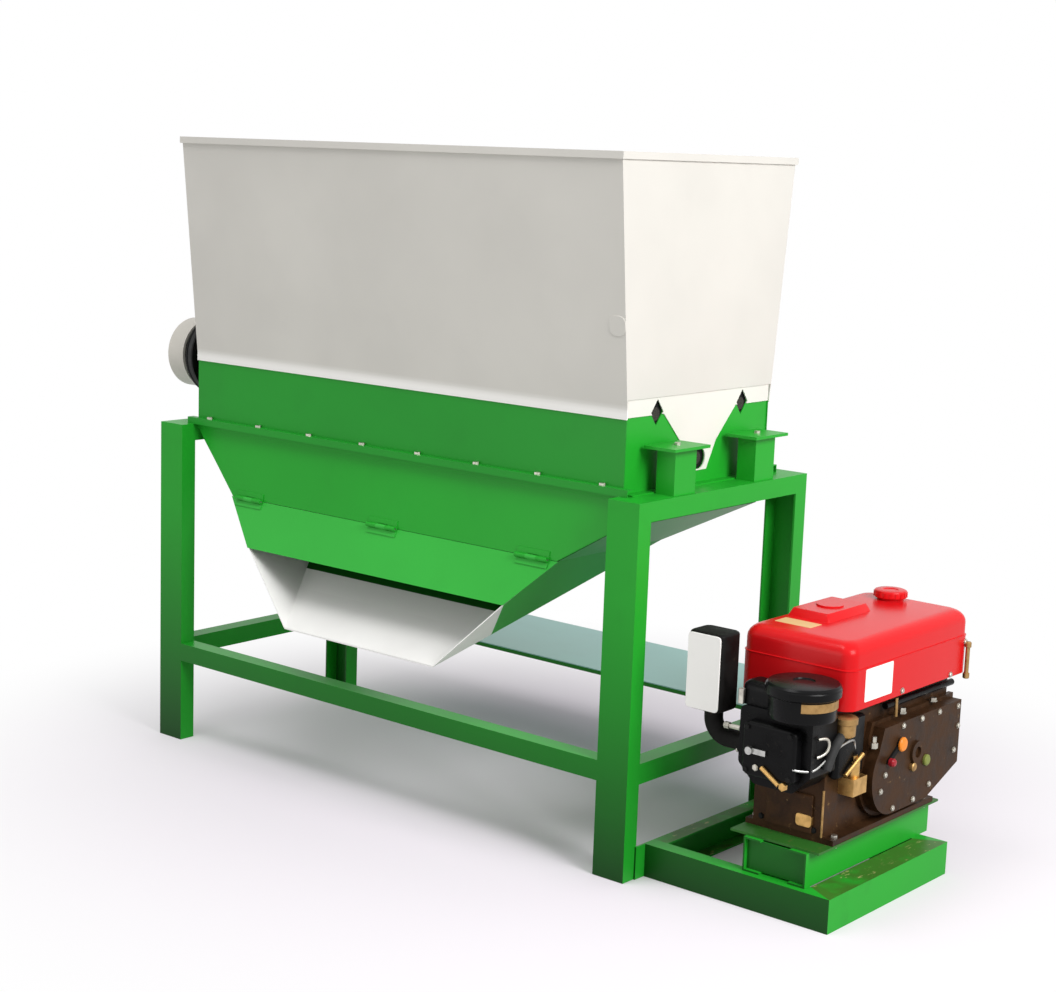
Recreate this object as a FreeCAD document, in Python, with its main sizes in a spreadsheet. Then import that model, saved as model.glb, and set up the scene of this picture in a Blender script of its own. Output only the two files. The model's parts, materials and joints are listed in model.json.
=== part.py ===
import FreeCAD, Part
import math
import os
import Sketcher

# Cassava peeling machine: a hopper over a bed of three abrasive rollers, a collecting funnel with a
# chute below them, all on a channel steel frame, and a single cylinder diesel engine on its own base.
# +X runs along the machine towards the engine, -Y is the front with the chute, +Z is up.
# The sizes are given from the middle of the frame. The finished parts are moved so that the
# origin lies on the floor under the middle of the whole machine. Lengths are in millimetres.

SIZES = {
    # channel steel frame
    "frame_length": 1853.0,
    "frame_width": 780.0,
    "frame_height": 1000.0,
    "channel_web": 100.0,
    "channel_flange": 52.0,
    "channel_wall": 6.0,
    "rail_top": 311.0,
    "rail_side": 55.0,
    "rail_wall": 4.0,
    "tray_bar_thick": 12.0,
    "tray_reach": 345.0,
    "tray_lip": 20.0,
    # sheet metal casing
    "sheet": 3.0,
    "casing_inset": 100.5,
    "casing_side_inset": 64.0,
    "casing_height": 200.0,
    "ledge_reach": 20.0,
    "ledge_drop": 20.0,
    "foot_reach": 27.0,
    "slot_half_width": 27.0,
    "slot_half_height": 35.0,
    "slot_rise": 5.0,
    "shaft_hole_radius": 30.0,
    # hopper
    "rim_height": 1870.0,
    "rim_bar": 19.0,
    "rim_proud": 6.0,
    "mouth_flare": 66.0,
    "hem_height": 26.0,
    "hem_overlap": 4.0,
    "apron_fold": 46.0,
    "apron_tuck": 12.0,
    "apron_shoulder_in": 30.0,
    "apron_waist": 78.0,
    "apron_waist_over": 44.0,
    "apron_foot": 38.0,
    "apron_foot_under": 33.0,
    # collecting funnel and chute
    "funnel_flange": 17.0,
    "front_skirt": 32.0,
    "right_skirt": 102.0,
    "rear_skirt": 77.0,
    "hinge_drop": 215.0,
    "hinge_out": 26.0,
    "flap_foot_drop": 348.0,
    "flap_foot_out": 84.0,
    "lip_drop": 548.0,
    "lip_out": 124.0,
    "lip_half_width": 294.0,
    "chute_root_in": 16.0,
    "flap_gap": 1.4,
    "hinge_length": 111.0,
    "hinge_inset": 80.0,
    "hinge_radius": 7.0,
    "hinge_stand": 8.2,
    "hinge_pin_radius": 3.5,
    "hinge_leaf": 22.0,
    "hinge_leaf_thick": 3.0,
    "knuckle_gap": 0.5,
    # rollers and their drive
    "row_rise": 1.0,
    "roller_side_gap": 20.0,
    "roller_gap": 20.0,
    "roller_end_gap": 86.0,
    "roller_wall": 6.0,
    "shaft_radius": 17.5,
    "running_gap": 0.05,
    "bearing_radius": 37.0,
    "bearing_thick": 32.0,
    "bearing_flange": 8.0,
    "bearing_flange_radius": 44.5,
    "wheel_gap": 7.0,
    "wheel_thick": 30.0,
    "wheel_radius": 125.0,
    "low_wheel_radius": 50.0,
    "groove_depth": 10.0,
    "groove_width": 18.0,
    "belt_clearance": 0.4,
    "belt_thick": 8.0,
    "belt_width": 16.0,
    "drum_gap": 35.0,
    "drum_thick": 70.0,
    "drum_radius": 107.0,
    "drum_wall": 8.0,
    "drum_web": 12.0,
    "wheel_rim": 10.0,
    "wheel_web": 10.0,
    "hub_radius": 34.0,
    # bearing stands
    "stand_offset": 185.0,
    "stand_height": 119.0,
    "stand_width": 93.0,
    "stand_depth": 58.0,
    "stand_inset": 10.0,
    "stand_plate_long": 155.0,
    "stand_plate_wide": 100.0,
    "stand_plate_thick": 8.0,
    # fasteners
    "bolt_radius": 5.0,
    "bolt_head_radius": 9.0,
    "bolt_head": 6.5,
    "bolt_gap": 0.3,
    "ledge_bolt_inset": 60.0,
    # engine base
    "base_length": 564.5,
    "base_lap": 6.0,
    "base_set_in": 33.0,
    "base_rear": 290.0,
    "base_height": 89.0,
    "base_flange": 45.0,
    "base_wall": 5.0,
    "end_rail_flange": 80.0,
    "riser_inset": 27.0,
    "riser_out": 8.0,
    "riser_set_back": 20.0,
    "riser_over": 40.0,
    "riser_height": 90.0,
    "riser_flange": 50.0,
    "closer_set_back": 12.0,
    "plate_lap_left": 23.0,
    "plate_lap_right": 35.0,
    "plate_set_back": 13.0,
    "mount_plate_thick": 6.0,
    # engine block
    "engine_out": 268.5,
    "block_length": 204.0,
    "block_front": 206.0,
    "block_shoulder": 45.0,
    "case_rear": 400.0,
    "case_top": 528.0,
    "case_belly": 65.0,
    "case_low_rear": 235.0,
    "case_round": 16.0,
    "crank_offset": 165.0,
    "crank_height": 355.0,
    "crank_radius": 24.0,
    "crank_nut_radius": 34.0,
    "crank_nut": 16.0,
    "back_cover_inset": 30.0,
    "back_cover_thick": 8.0,
    "foot_thick": 14.0,
    "foot_rear": 300.0,
    "foot_lug_left": 22.0,
    "foot_lug_right": 34.0,
    "foot_bolt_out_left": 11.0,
    "foot_bolt_out_right": 19.0,
    "foot_bolt_inset": 30.0,
    # gear cover
    "cover_thick": 46.0,
    "cover_flange": 14.0,
    "cover_lip": 11.0,
    "cover_front": 62.0,
    "cover_slant": 48.0,
    "cover_rear": 412.0,
    "cover_top": 462.0,
    "cover_waist": 278.0,
    "cover_sump_rear": 235.0,
    "cover_sump_radius": 118.0,
    "cover_clear": 3.0,
    "cover_boss": 8.0,
    "cover_boss_radius": 30.0,
    "cover_socket_radius": 15.0,
    # cylinder head
    "head_in": 20.0,
    "head_over": 26.0,
    "head_depth": 114.0,
    "head_bottom": 335.0,
    "head_top": 530.0,
    "head_chin": 48.0,
    "head_round": 16.0,
    "rocker_inset": 28.0,
    "rocker_depth": 30.0,
    "rocker_corner": 20.0,
    "rocker_round": 9.0,
    # hood
    "hood_over_left": 75.0,
    "hood_over_right": 51.0,
    "hood_front": 195.0,
    "hood_rear": 415.0,
    "hood_height": 172.0,
    "hood_skirt": 74.0,
    "hood_lip": 2.0,
    "hood_corner": 36.0,
    "hood_round": 26.0,
    "hatch_in": 32.0,
    "hatch_width": 126.0,
    "hatch_length": 210.0,
    "hatch_set_back": 165.0,
    "hatch_height": 20.0,
    "hatch_disc_radius": 36.0,
    "hatch_disc": 4.0,
    "cap_in": 118.0,
    "cap_set_in": 66.0,
    "cap_radius": 46.0,
    "cap_skirt": 36.0,
    "cap_height": 20.0,
    "cap_edge": 4.0,
    "neck_height": 6.0,
    # air cleaner
    "cleaner_in": 13.0,
    "cleaner_forward": 310.0,
    "cleaner_radius": 84.0,
    "cleaner_cap_radius": 94.0,
    "cleaner_body": 60.0,
    "cleaner_cap": 32.0,
    "cleaner_edge": 9.0,
    # muffler and elbow
    "muffler_gap": 27.0,
    "muffler_width": 106.0,
    "muffler_front": 350.0,
    "muffler_depth": 92.0,
    "muffler_bottom": 495.0,
    "muffler_top": 697.0,
    "muffler_corner": 15.0,
    "muffler_round": 8.0,
    "guard_thick": 3.0,
    "guard_inset": 5.0,
    "guard_end": 10.0,
    "guard_corner": 10.0,
    "elbow_radius": 24.0,
    "elbow_height": 425.0,
    "elbow_bend": 48.0,
    "elbow_flange": 8.0,
    "elbow_flange_radius": 30.0,
    "elbow_back": 60.0,
    # flywheel
    "flywheel_radius": 165.0,
    "flywheel_thick": 46.0,
    "flywheel_gap": 26.0,
    "flywheel_rim": 34.0,
    "flywheel_web": 16.0,
    "flywheel_hub_radius": 50.0,
    # injection pump
    "pump_forward": 108.0,
    "pump_wide": 64.0,
    "pump_deep": 44.0,
    "pump_low": 300.0,
    "pump_high": 345.0,
    "pump_radius": 16.0,
    "pump_barrel": 40.0,
    "pump_union_radius": 10.0,
    "pump_union": 14.0,
    # levers
    "lever_thick": 6.0,
    "lever_half_width": 7.0,
    "lever_gap": 0.3,
    "speed_pivot_y": 77.0,
    "speed_pivot_z": 395.0,
    "speed_reach_y": 55.0,
    "speed_reach_z": 36.0,
    "speed_boss_radius": 19.0,
    "speed_knob_radius": 11.0,
    "speed_knob_thick": 22.0,
    "decomp_in": 75.0,
    "decomp_z": 430.0,
    "decomp_reach": 46.0,
    "decomp_boss_radius": 10.0,
}


class Size:
    """A length that carries both its number and the sheet formula that gives it."""

    def __init__(self, number, formula):
        self.number = float(number)
        self.formula = formula

    def __add__(self, other):
        other = size(other)
        return Size(self.number + other.number, "(%s + %s)" % (self.formula, other.formula))

    def __radd__(self, other):
        return size(other) + self

    def __sub__(self, other):
        other = size(other)
        return Size(self.number - other.number, "(%s - %s)" % (self.formula, other.formula))

    def __rsub__(self, other):
        return size(other) - self

    def __mul__(self, other):
        other = size(other)
        return Size(self.number * other.number, "(%s * %s)" % (self.formula, other.formula))

    def __rmul__(self, other):
        return size(other) * self

    def __truediv__(self, other):
        other = size(other)
        return Size(self.number / other.number, "(%s / %s)" % (self.formula, other.formula))

    def __neg__(self):
        return Size(-self.number, "(0 - %s)" % self.formula)


def size(value):
    """Return a Size for a Size, a sheet alias or a plain number."""
    if isinstance(value, Size):
        return value
    if isinstance(value, str):
        return Size(SIZES[value], "Sizes." + value)
    return Size(value, repr(float(value)))


doc = FreeCAD.newDocument("CassavaPeeler")
sheet = doc.addObject("Spreadsheet::Sheet", "Sizes")
for row, (alias, number) in enumerate(SIZES.items(), start=1):
    cell = "B%d" % row
    sheet.set("A%d" % row, alias)
    sheet.set(cell, repr(number))
    sheet.setAlias(cell, alias)
doc.recompute()

NODES = []
FULL_TURN = 360  # degrees
QUARTER_TURN = 90  # degrees
NEAR = 0.01  # lengths closer than this count as equal


def bind(obj, prop, value):
    """Tie a property of an object to the sheet."""
    value = size(value)
    obj.setExpression(prop, value.formula)


PLACES = {}


def place(obj, x=0, y=0, z=0):
    """Tie an object's position to the sheet."""
    PLACES[obj.Name] = (size(x), size(y), size(z))
    for axis, value in (("x", x), ("y", y), ("z", z)):
        bind(obj, "Placement.Base." + axis, value)


def keep(obj, label):
    """Name a finished sub-part and list it for writing."""
    obj.Label = label
    NODES.append(obj)
    return obj


def new_body(label):
    return keep(doc.addObject("PartDesign::Body", "Body"), label)


def new_piece():
    """A body that will be one of several like solids in a group."""
    return doc.addObject("PartDesign::Body", "Piece")


def keep_group(label, pieces):
    """Keep several separate like solids under one name."""
    group = doc.addObject("Part::Compound", "Group")
    group.Links = pieces
    return keep(group, label)


def in_order(first, second):
    """Two lengths with the lower one first."""
    first, second = size(first), size(second)
    return [first, second] if first.number < second.number else [second, first]


def role_plane(body, role):
    return [item for item in body.Origin.OriginFeatures if item.Role == role][0]


def tie_point(sketch, geometry, point, x, y):
    """Fix one point of a sketch at sheet-driven distances from the sketch's origin."""
    for kind, value, axis in (("DistanceX", x, -2), ("DistanceY", y, -1)):
        if value.number == 0.0:
            sketch.addConstraint(Sketcher.Constraint("PointOnObject", geometry, point, axis))
            continue
        index = sketch.addConstraint(Sketcher.Constraint(kind, -1, 1, geometry, point, value.number))
        sketch.setExpression("Constraints[%d]" % index, value.formula)


def add_polygon(sketch, points):
    """Draw a closed outline whose corners follow the sheet."""
    points = [(size(x), size(y)) for x, y in points]
    corners = [FreeCAD.Vector(x.number, y.number, 0) for x, y in points]
    count = len(corners)
    first = sketch.GeometryCount
    for index in range(count):
        sketch.addGeometry(Part.LineSegment(corners[index], corners[(index + 1) % count]), False)
    for index in range(count):
        following = first + (index + 1) % count
        sketch.addConstraint(Sketcher.Constraint("Coincident", first + index, 2, following, 1))
    for index, (x, y) in enumerate(points):
        tie_point(sketch, first + index, 1, x, y)


def add_circle(sketch, x, y, radius):
    """Draw a circle whose centre and radius follow the sheet."""
    x, y, radius = size(x), size(y), size(radius)
    centre = FreeCAD.Vector(x.number, y.number, 0)
    shape = Part.Circle(centre, FreeCAD.Vector(0, 0, 1), radius.number)
    index = sketch.addGeometry(shape, False)
    tie_point(sketch, index, 3, x, y)
    rule = sketch.addConstraint(Sketcher.Constraint("Radius", index, radius.number))
    sketch.setExpression("Constraints[%d]" % rule, radius.formula)


def add_rounded(sketch, x_low, x_high, y_low, y_high, radius):
    """Draw a rectangle with round corners that follows the sheet."""
    x_low, x_high, y_low, y_high, radius = map(size, (x_low, x_high, y_low, y_high, radius))
    first = sketch.GeometryCount
    x_in, x_out = x_low + radius, x_high - radius
    y_in, y_out = y_low + radius, y_high - radius
    runs = [((x_in, y_low), (x_out, y_low)), ((x_high, y_in), (x_high, y_out)),
            ((x_out, y_high), (x_in, y_high)), ((x_low, y_out), (x_low, y_in))]
    centres = [(x_out, y_in), (x_out, y_out), (x_in, y_out), (x_in, y_in)]
    quarter = math.pi / 2
    for index in range(len(runs)):
        start, end = [FreeCAD.Vector(x.number, y.number, 0) for x, y in runs[index]]
        sketch.addGeometry(Part.LineSegment(start, end), False)
        centre = FreeCAD.Vector(centres[index][0].number, centres[index][1].number, 0)
        circle = Part.Circle(centre, FreeCAD.Vector(0, 0, 1), radius.number)
        sketch.addGeometry(Part.ArcOfCircle(circle, quarter * (index - 1), quarter * index), False)
    for index, (start, end) in enumerate(runs):
        line = first + index * 2
        following = first + (index * 2 + 2) % (len(runs) * 2)
        sketch.addConstraint(Sketcher.Constraint("Coincident", line, 2, line + 1, 1))
        sketch.addConstraint(Sketcher.Constraint("Coincident", line + 1, 2, following, 1))
        tie_point(sketch, line, 1, *start)
        tie_point(sketch, line, 2, *end)
        rule = sketch.addConstraint(Sketcher.Constraint("Radius", line + 1, radius.number))
        sketch.setExpression("Constraints[%d]" % rule, radius.formula)


def new_sketch(body, role, offset, outlines=(), circles=(), rounded=()):
    """Make a sketch on an origin plane of its body, moved along the plane's normal."""
    sketch = body.newObject("Sketcher::SketchObject", "Sketch")
    sketch.AttachmentSupport = [(role_plane(body, role), "")]
    sketch.MapMode = "FlatFace"
    bind(sketch, "AttachmentOffset.Base.z", offset)
    for points in outlines:
        add_polygon(sketch, points)
    for circle in circles:
        add_circle(sketch, *circle)
    for box in rounded:
        add_rounded(sketch, *box)
    return sketch


def start_of(role, low, high, cutting):
    """The sketch offset from which a pad or a pocket covers low to high on a plane's axis."""
    if role == "XZ_Plane":
        return -size(low) if cutting else -size(high)
    return size(high) if cutting else size(low)


def pad(body, role, low, high, outlines=(), circles=(), rounded=()):
    """Pad outlines between two levels along the plane's axis."""
    start = start_of(role, low, high, False)
    feature = body.newObject("PartDesign::Pad", "Pad")
    feature.Profile = new_sketch(body, role, start, outlines, circles, rounded)
    bind(feature, "Length", size(high) - size(low))
    body.Tip = feature
    return feature


def cut(body, role, low, high, outlines=(), circles=()):
    """Cut outlines between two levels along the plane's axis."""
    sketch = new_sketch(body, role, start_of(role, low, high, True), outlines, circles)
    feature = body.newObject("PartDesign::Pocket", "Pocket")
    feature.Profile = sketch
    bind(feature, "Length", size(high) - size(low))
    return feature


def revolve(body, role, axis_name, outlines=(), circles=()):
    """Revolve outlines a full turn about an axis of their own sketch."""
    sketch = new_sketch(body, role, 0, outlines, circles)
    feature = body.newObject("PartDesign::Revolution", "Revolution")
    feature.Profile = sketch
    feature.ReferenceAxis = (sketch, [axis_name])
    feature.Angle = FULL_TURN
    return feature


def round_edges(body, feature, radius, chosen):
    """Round those edges of a feature that a test chooses."""
    doc.recompute()
    names = ["Edge%d" % number for number, edge in enumerate(feature.Shape.Edges, start=1) if chosen(edge)]
    if not names:
        raise RuntimeError("no edge to round on " + body.Label)
    rounding = body.newObject("PartDesign::Fillet", "Fillet")
    rounding.Base = (feature, names)
    bind(rounding, "Radius", radius)
    return rounding


def level_edges(*levels):
    """A test for edges that lie wholly at one of some heights."""
    heights = [size(level).number for level in levels]
    return lambda edge: any(all(abs(point.Point.z - height) < NEAR for point in edge.Vertexes)
                            and abs(edge.CenterOfMass.z - height) < NEAR for height in heights)


def edges_along(axis):
    """A test for straight edges parallel to an axis, 0 for X, 1 for Y and 2 for Z."""
    def chosen(edge):
        box = edge.BoundBox
        spans = (box.XLength, box.YLength, box.ZLength)
        return all(span < NEAR for index, span in enumerate(spans) if index != axis)
    return chosen


def rectangle(x_low, x_high, y_low, y_high):
    return [(x_low, y_low), (x_high, y_low), (x_high, y_high), (x_low, y_high)]


def channel_outline(tip, web, side_low, side_high, wall):
    """A channel section whose web lies at one end of the first axis, open towards its tips."""
    step = size(wall) if size(tip).number > size(web).number else -size(wall)
    inner = size(web) + step
    low = size(side_low) + size(wall)
    high = size(side_high) - size(wall)
    return [(web, side_low), (tip, side_low), (tip, low), (inner, low),
            (inner, high), (tip, high), (tip, side_high), (web, side_high)]


def swap(points):
    return [(y, x) for x, y in points]


# Levels and half sizes that several sub-parts share
half_length = size("frame_length") / 2
half_width = size("frame_width") / 2
deck = size("frame_height")
leg_inner_x = half_length - "channel_web"
leg_inner_y = half_width - "channel_flange"
casing_x = half_length - "casing_inset"
casing_y = half_width - "casing_side_inset"
casing_top = deck + "casing_height"
wall = size("sheet")
rail_low = size("rail_top") - "rail_side"
ledge_top = deck + "ledge_drop"

# The bed of three rollers: equal gaps between them and to the casing walls
ROLLER_ANGLE = 34.3  # degrees by which the line from an upper axis to the low one slopes down
across = math.cos(math.radians(ROLLER_ANGLE))
row_y = (casing_y - wall - "roller_side_gap" + size("roller_gap") / 2) / (1 + 1 / across / 2)
row_z = casing_top + "row_rise"
low_row_z = row_z - row_y * math.tan(math.radians(ROLLER_ANGLE))
roller_radius = (row_y / across - "roller_gap") / 2
ROLLER_ROWS = {"front": (-row_y, row_z), "low": (size(0), low_row_z), "rear": (row_y, row_z)}


def make_leg(label, side_x, side_y):
    """A channel leg, web outwards, under the web of the end beam."""
    body = new_body(label)
    web = half_width * side_y
    tip = leg_inner_y * side_y
    ends = in_order(half_length * side_x, leg_inner_x * side_x)
    outline = swap(channel_outline(tip, web, ends[0], ends[1], "channel_wall"))
    pad(body, "XY_Plane", 0, deck - "channel_wall", [outline])


def make_end_beam(label, side):
    """A channel beam, web up, whose web runs over the leg tops and whose flanges are coped."""
    body = new_body(label)
    ends = in_order(half_length * side, leg_inner_x * side)
    outline = swap(channel_outline(deck - "channel_flange", deck, ends[0], ends[1], "channel_wall"))
    pad(body, "XZ_Plane", -half_width, half_width, [outline])
    under = deck - "channel_flange"
    notch = rectangle(ends[0], ends[1], under, deck - "channel_wall")
    cut(body, "XZ_Plane", -half_width, -leg_inner_y, [notch])
    cut(body, "XZ_Plane", leg_inner_y, half_width, [notch])


def make_tube_x(label, x_low, x_high, y_low, z_low):
    """A square tube along X."""
    body = new_body(label)
    side = size("rail_side")
    gap = size("rail_wall")
    y_high = size(y_low) + side
    z_high = size(z_low) + side
    outer = rectangle(y_low, y_high, z_low, z_high)
    inner = rectangle(size(y_low) + gap, y_high - gap, size(z_low) + gap, z_high - gap)
    pad(body, "YZ_Plane", x_low, x_high, [outer, inner])


def make_tube_y(y_low, y_high, x_low, z_low):
    """A square tube along Y."""
    body = new_piece()
    side = size("rail_side")
    gap = size("rail_wall")
    x_high = size(x_low) + side
    z_high = size(z_low) + side
    outer = rectangle(x_low, x_high, z_low, z_high)
    inner = rectangle(size(x_low) + gap, x_high - gap, size(z_low) + gap, z_high - gap)
    pad(body, "XZ_Plane", y_low, y_high, [outer, inner])
    return body


def make_frame():
    for side_x, name_x in ((-1, "left"), (1, "right")):
        for side_y, name_y in ((-1, "front"), (1, "rear")):
            make_leg("leg_%s_%s" % (name_y, name_x), side_x, side_y)
        make_end_beam("end_beam_" + name_x, side_x)
    make_tube_x("lower_rail_front", -leg_inner_x, leg_inner_x, -half_width, rail_low)
    end_x = half_length - "rail_side"
    keep_group("lower_rails_end", [make_tube_y(-leg_inner_y, leg_inner_y, x_low, rail_low)
                                   for x_low in (end_x, -half_length)])


def make_rear_tray():
    """A flat bar between the rear legs and the folded tray sheet that rests on it."""
    bar = new_body("tray_bar")
    top = size("rail_top") - "sheet"
    low = top - "tray_bar_thick"
    front = half_width - "rail_side"
    pad(bar, "YZ_Plane", -leg_inner_x, leg_inner_x, [rectangle(front, half_width, low, top)])
    tray = new_body("rear_tray")
    rear = half_width + "tray_reach"
    lip = top - "tray_lip"
    high = size("rail_top")
    fold = [(front, top), (front, high), (rear, high), (rear, lip), (rear - wall, lip), (rear - wall, top)]
    pad(tray, "YZ_Plane", -leg_inner_x, leg_inner_x, [fold])


LEDGE_BOLTS = 8


def ledge_spots(side):
    """Bolt centres along the front or the rear ledge."""
    y = (casing_y + size("funnel_flange") / 2) * side
    reach = casing_x - wall - "ledge_bolt_inset"
    gaps = LEDGE_BOLTS - 1
    return [(-reach + reach * 2 * index / gaps, y) for index in range(LEDGE_BOLTS)]


def bolt_holes(spots):
    """Clearance holes for bolts."""
    return [(x, y, size("bolt_radius") + "bolt_gap") for x, y in spots]


def make_casing_wall(label, side):
    """A long casing wall with its outward ledge and down-turned lip."""
    body = new_body(label)
    outer = casing_y
    reach = casing_y + "ledge_reach"
    points = [(outer, casing_top), (outer, ledge_top), (reach, ledge_top), (reach, deck),
              (reach - wall, deck), (reach - wall, ledge_top - wall), (outer - wall, ledge_top - wall),
              (outer - wall, casing_top)]
    points = [(y * side, z) for y, z in points]
    span = casing_x + "foot_reach"
    pad(body, "YZ_Plane", -span, span, [points])
    for end in (-1, 1):
        ends = in_order(casing_x * end, span * end)
        ys = in_order((outer - wall) * side, outer * side)
        cut(body, "YZ_Plane", ends[0], ends[1], [rectangle(ys[0], ys[1], ledge_top, casing_top)])
    cut(body, "XY_Plane", ledge_top - wall, ledge_top, (), bolt_holes(ledge_spots(side)))


def slot_outline(centre_y):
    """A diamond slot for an upper roller's shaft."""
    half_w = size("slot_half_width")
    half_h = size("slot_half_height")
    centre_z = row_z + "slot_rise"
    return [(centre_y, centre_z - half_h), (size(centre_y) + half_w, centre_z),
            (centre_y, centre_z + half_h), (size(centre_y) - half_w, centre_z)]


def make_casing_end(label, side):
    """An end plate with its shaft openings and the foot that rests on the end beam."""
    body = new_body(label)
    face = casing_x - wall
    faces = in_order((face - wall) * side, face * side)
    inside = casing_y - wall
    top = casing_top + "apron_tuck"
    pad(body, "YZ_Plane", faces[0], faces[1], [rectangle(-inside, inside, deck, top)])
    foot_end = casing_x + "foot_reach"
    feet = in_order(face * side, foot_end * side)
    pad(body, "YZ_Plane", feet[0], feet[1], [rectangle(-inside, inside, deck, deck + wall)])
    slots = [slot_outline(-row_y), slot_outline(row_y)]
    hole = (0, low_row_z, "shaft_hole_radius")
    cut(body, "YZ_Plane", faces[0], faces[1], slots, [hole])


def make_apron(side):
    """The pale band under the hopper end and the V plate that hangs from it."""
    body = new_piece()
    faces = in_order((casing_x - wall) * side, casing_x * side)
    inside = casing_y - wall
    band_top = casing_top + "apron_fold" + "apron_tuck"
    waist = low_row_z + "apron_waist_over"
    foot = low_row_z - "apron_foot_under"
    half = [(inside, band_top), (inside, casing_top), (row_y - "apron_shoulder_in", casing_top),
            ("apron_waist", waist), ("apron_foot", foot)]
    mirror = [(-size(y), z) for y, z in reversed(half)]
    pad(body, "YZ_Plane", faces[0], faces[1], [half + mirror])
    slots = [slot_outline(-row_y), slot_outline(row_y)]
    hole = (0, low_row_z, "shaft_hole_radius")
    cut(body, "YZ_Plane", faces[0], faces[1], slots, [hole])
    return body


def make_casing():
    make_casing_wall("casing_front", -1)
    make_casing_wall("casing_rear", 1)
    make_casing_end("casing_end_right", 1)
    make_casing_end("casing_end_left", -1)
    keep_group("hopper_aprons", [make_apron(1), make_apron(-1)])


rim_low = size("rim_height") - "rim_bar"
hem_top = casing_top + "hem_height" - "hem_overlap"
hem_low = casing_top - "hem_overlap"
mouth_y = casing_y + "mouth_flare"
hopper_x = casing_x + wall


def hopper_inner_y(height):
    """Inner face of the long hopper walls at a height above the hem."""
    share = (size(height) - hem_top) / (rim_low - hem_top)
    return casing_y + (mouth_y - wall - casing_y) * share


def make_hopper_side(label, side):
    """A long hopper wall with the upright hem that laps over the casing."""
    body = new_body(label)
    outer = casing_y + wall
    points = [(outer, hem_low), (outer, hem_top), (mouth_y, rim_low),
              (mouth_y - wall, rim_low), (casing_y, hem_top), (casing_y, hem_low)]
    points = [(y * side, z) for y, z in points]
    pad(body, "YZ_Plane", -hopper_x, hopper_x, [points])


def make_hopper_end(label, side):
    """A hopper end wall, fitted between the long walls above the apron fold."""
    body = new_body(label)
    faces = in_order(casing_x * side, hopper_x * side)
    low = casing_top + "apron_fold"
    half_low = hopper_inner_y(low)
    half_high = mouth_y - wall
    outline = [(-half_low, low), (half_low, low), (half_high, rim_low), (-half_high, rim_low)]
    pad(body, "YZ_Plane", faces[0], faces[1], [outline])


def make_hopper_rim():
    """A frame of flat bar on the top edges of the hopper."""
    body = new_body("hopper_rim")
    out_x = hopper_x + "rim_proud"
    out_y = mouth_y + "rim_proud"
    in_x = casing_x
    in_y = mouth_y - wall
    outer = rectangle(-out_x, out_x, -out_y, out_y)
    inner = rectangle(-in_x, in_x, -in_y, in_y)
    pad(body, "XY_Plane", rim_low, "rim_height", [outer, inner])


def make_hopper():
    make_hopper_side("hopper_front", -1)
    make_hopper_side("hopper_rear", 1)
    make_hopper_end("hopper_end_right", 1)
    make_hopper_end("hopper_end_left", -1)
    make_hopper_rim()


# Funnel side view: y is measured to the outer faces
funnel_top = ledge_top - wall
front_y = -casing_y
bend_z = funnel_top - "front_skirt"
hinge_y = front_y - "hinge_out"
hinge_z = funnel_top - "hinge_drop"
flap_y = front_y - "flap_foot_out"
flap_z = funnel_top - "flap_foot_drop"
lip_y = front_y - "lip_out"
lip_z = funnel_top - "lip_drop"
rear_bend_z = funnel_top - "rear_skirt"
slide_rise = (rear_bend_z - lip_z) / (casing_y - lip_y)
root_y = front_y + "chute_root_in"
root_z = lip_z + slide_rise * (root_y - lip_y)
lip_x = size("lip_half_width")
inside_x = casing_x - wall
right_bend_z = funnel_top - "right_skirt"
side_lean = (inside_x - lip_x) / (bend_z - lip_z)


def side_x_at(height):
    """Half width between the funnel's sloping ends at a height, on their inner faces."""
    return lip_x + side_lean * (size(height) - lip_z)


hinge_x = side_x_at(hinge_z)
LEAN = math.sqrt(2.0)  # a sheet at 45 degrees is this much thicker when measured level
lean_wall = wall * LEAN


def trim_outline(body, low_y, high_y, outline):
    """Cut away everything of a body outside an outline seen from the front."""
    far = size("frame_length")
    frame = rectangle(-far, far, -wall, far)
    cut(body, "XZ_Plane", low_y, high_y, [frame, outline])


def front_outline(low_z):
    """Outline of the funnel seen from the front, down to a height."""
    low_x = side_x_at(low_z)
    points = [(-inside_x, funnel_top), (-inside_x, bend_z), (-low_x, low_z), (low_x, low_z)]
    if size(low_z).number < hinge_z.number:
        points.append((hinge_x, hinge_z))
    return points + [(inside_x, right_bend_z), (inside_x, funnel_top)]


def make_funnel_front():
    """The upper front panel with its top flange under the ledge."""
    body = new_body("funnel_front")
    flange_y = front_y - "funnel_flange"
    profile = [(flange_y, funnel_top), (front_y + wall, funnel_top), (front_y + wall, bend_z),
               (hinge_y + wall, hinge_z), (hinge_y, hinge_z), (front_y, bend_z),
               (front_y, funnel_top - wall), (flange_y, funnel_top - wall)]
    pad(body, "YZ_Plane", -inside_x, inside_x, [profile])
    trim_outline(body, hinge_y - wall, front_y + wall * 2, front_outline(hinge_z))
    cut(body, "XY_Plane", funnel_top - wall, funnel_top, (), bolt_holes(ledge_spots(-1)))


def make_funnel_slide():
    """The rear skirt and the slide that carries the peels forward."""
    body = new_body("funnel_slide")
    flange_y = casing_y + "funnel_flange"
    profile = [(flange_y, funnel_top), (casing_y - wall, funnel_top), (casing_y - wall, rear_bend_z),
               (root_y, root_z), (root_y, root_z - lean_wall), (casing_y, rear_bend_z - wall),
               (casing_y, funnel_top - wall), (flange_y, funnel_top - wall)]
    pad(body, "YZ_Plane", -inside_x, inside_x, [profile])
    trim_outline(body, root_y - wall, flange_y + wall, front_outline(root_z - lean_wall))
    cut(body, "XY_Plane", funnel_top - wall, funnel_top, (), bolt_holes(ledge_spots(1)))


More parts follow.
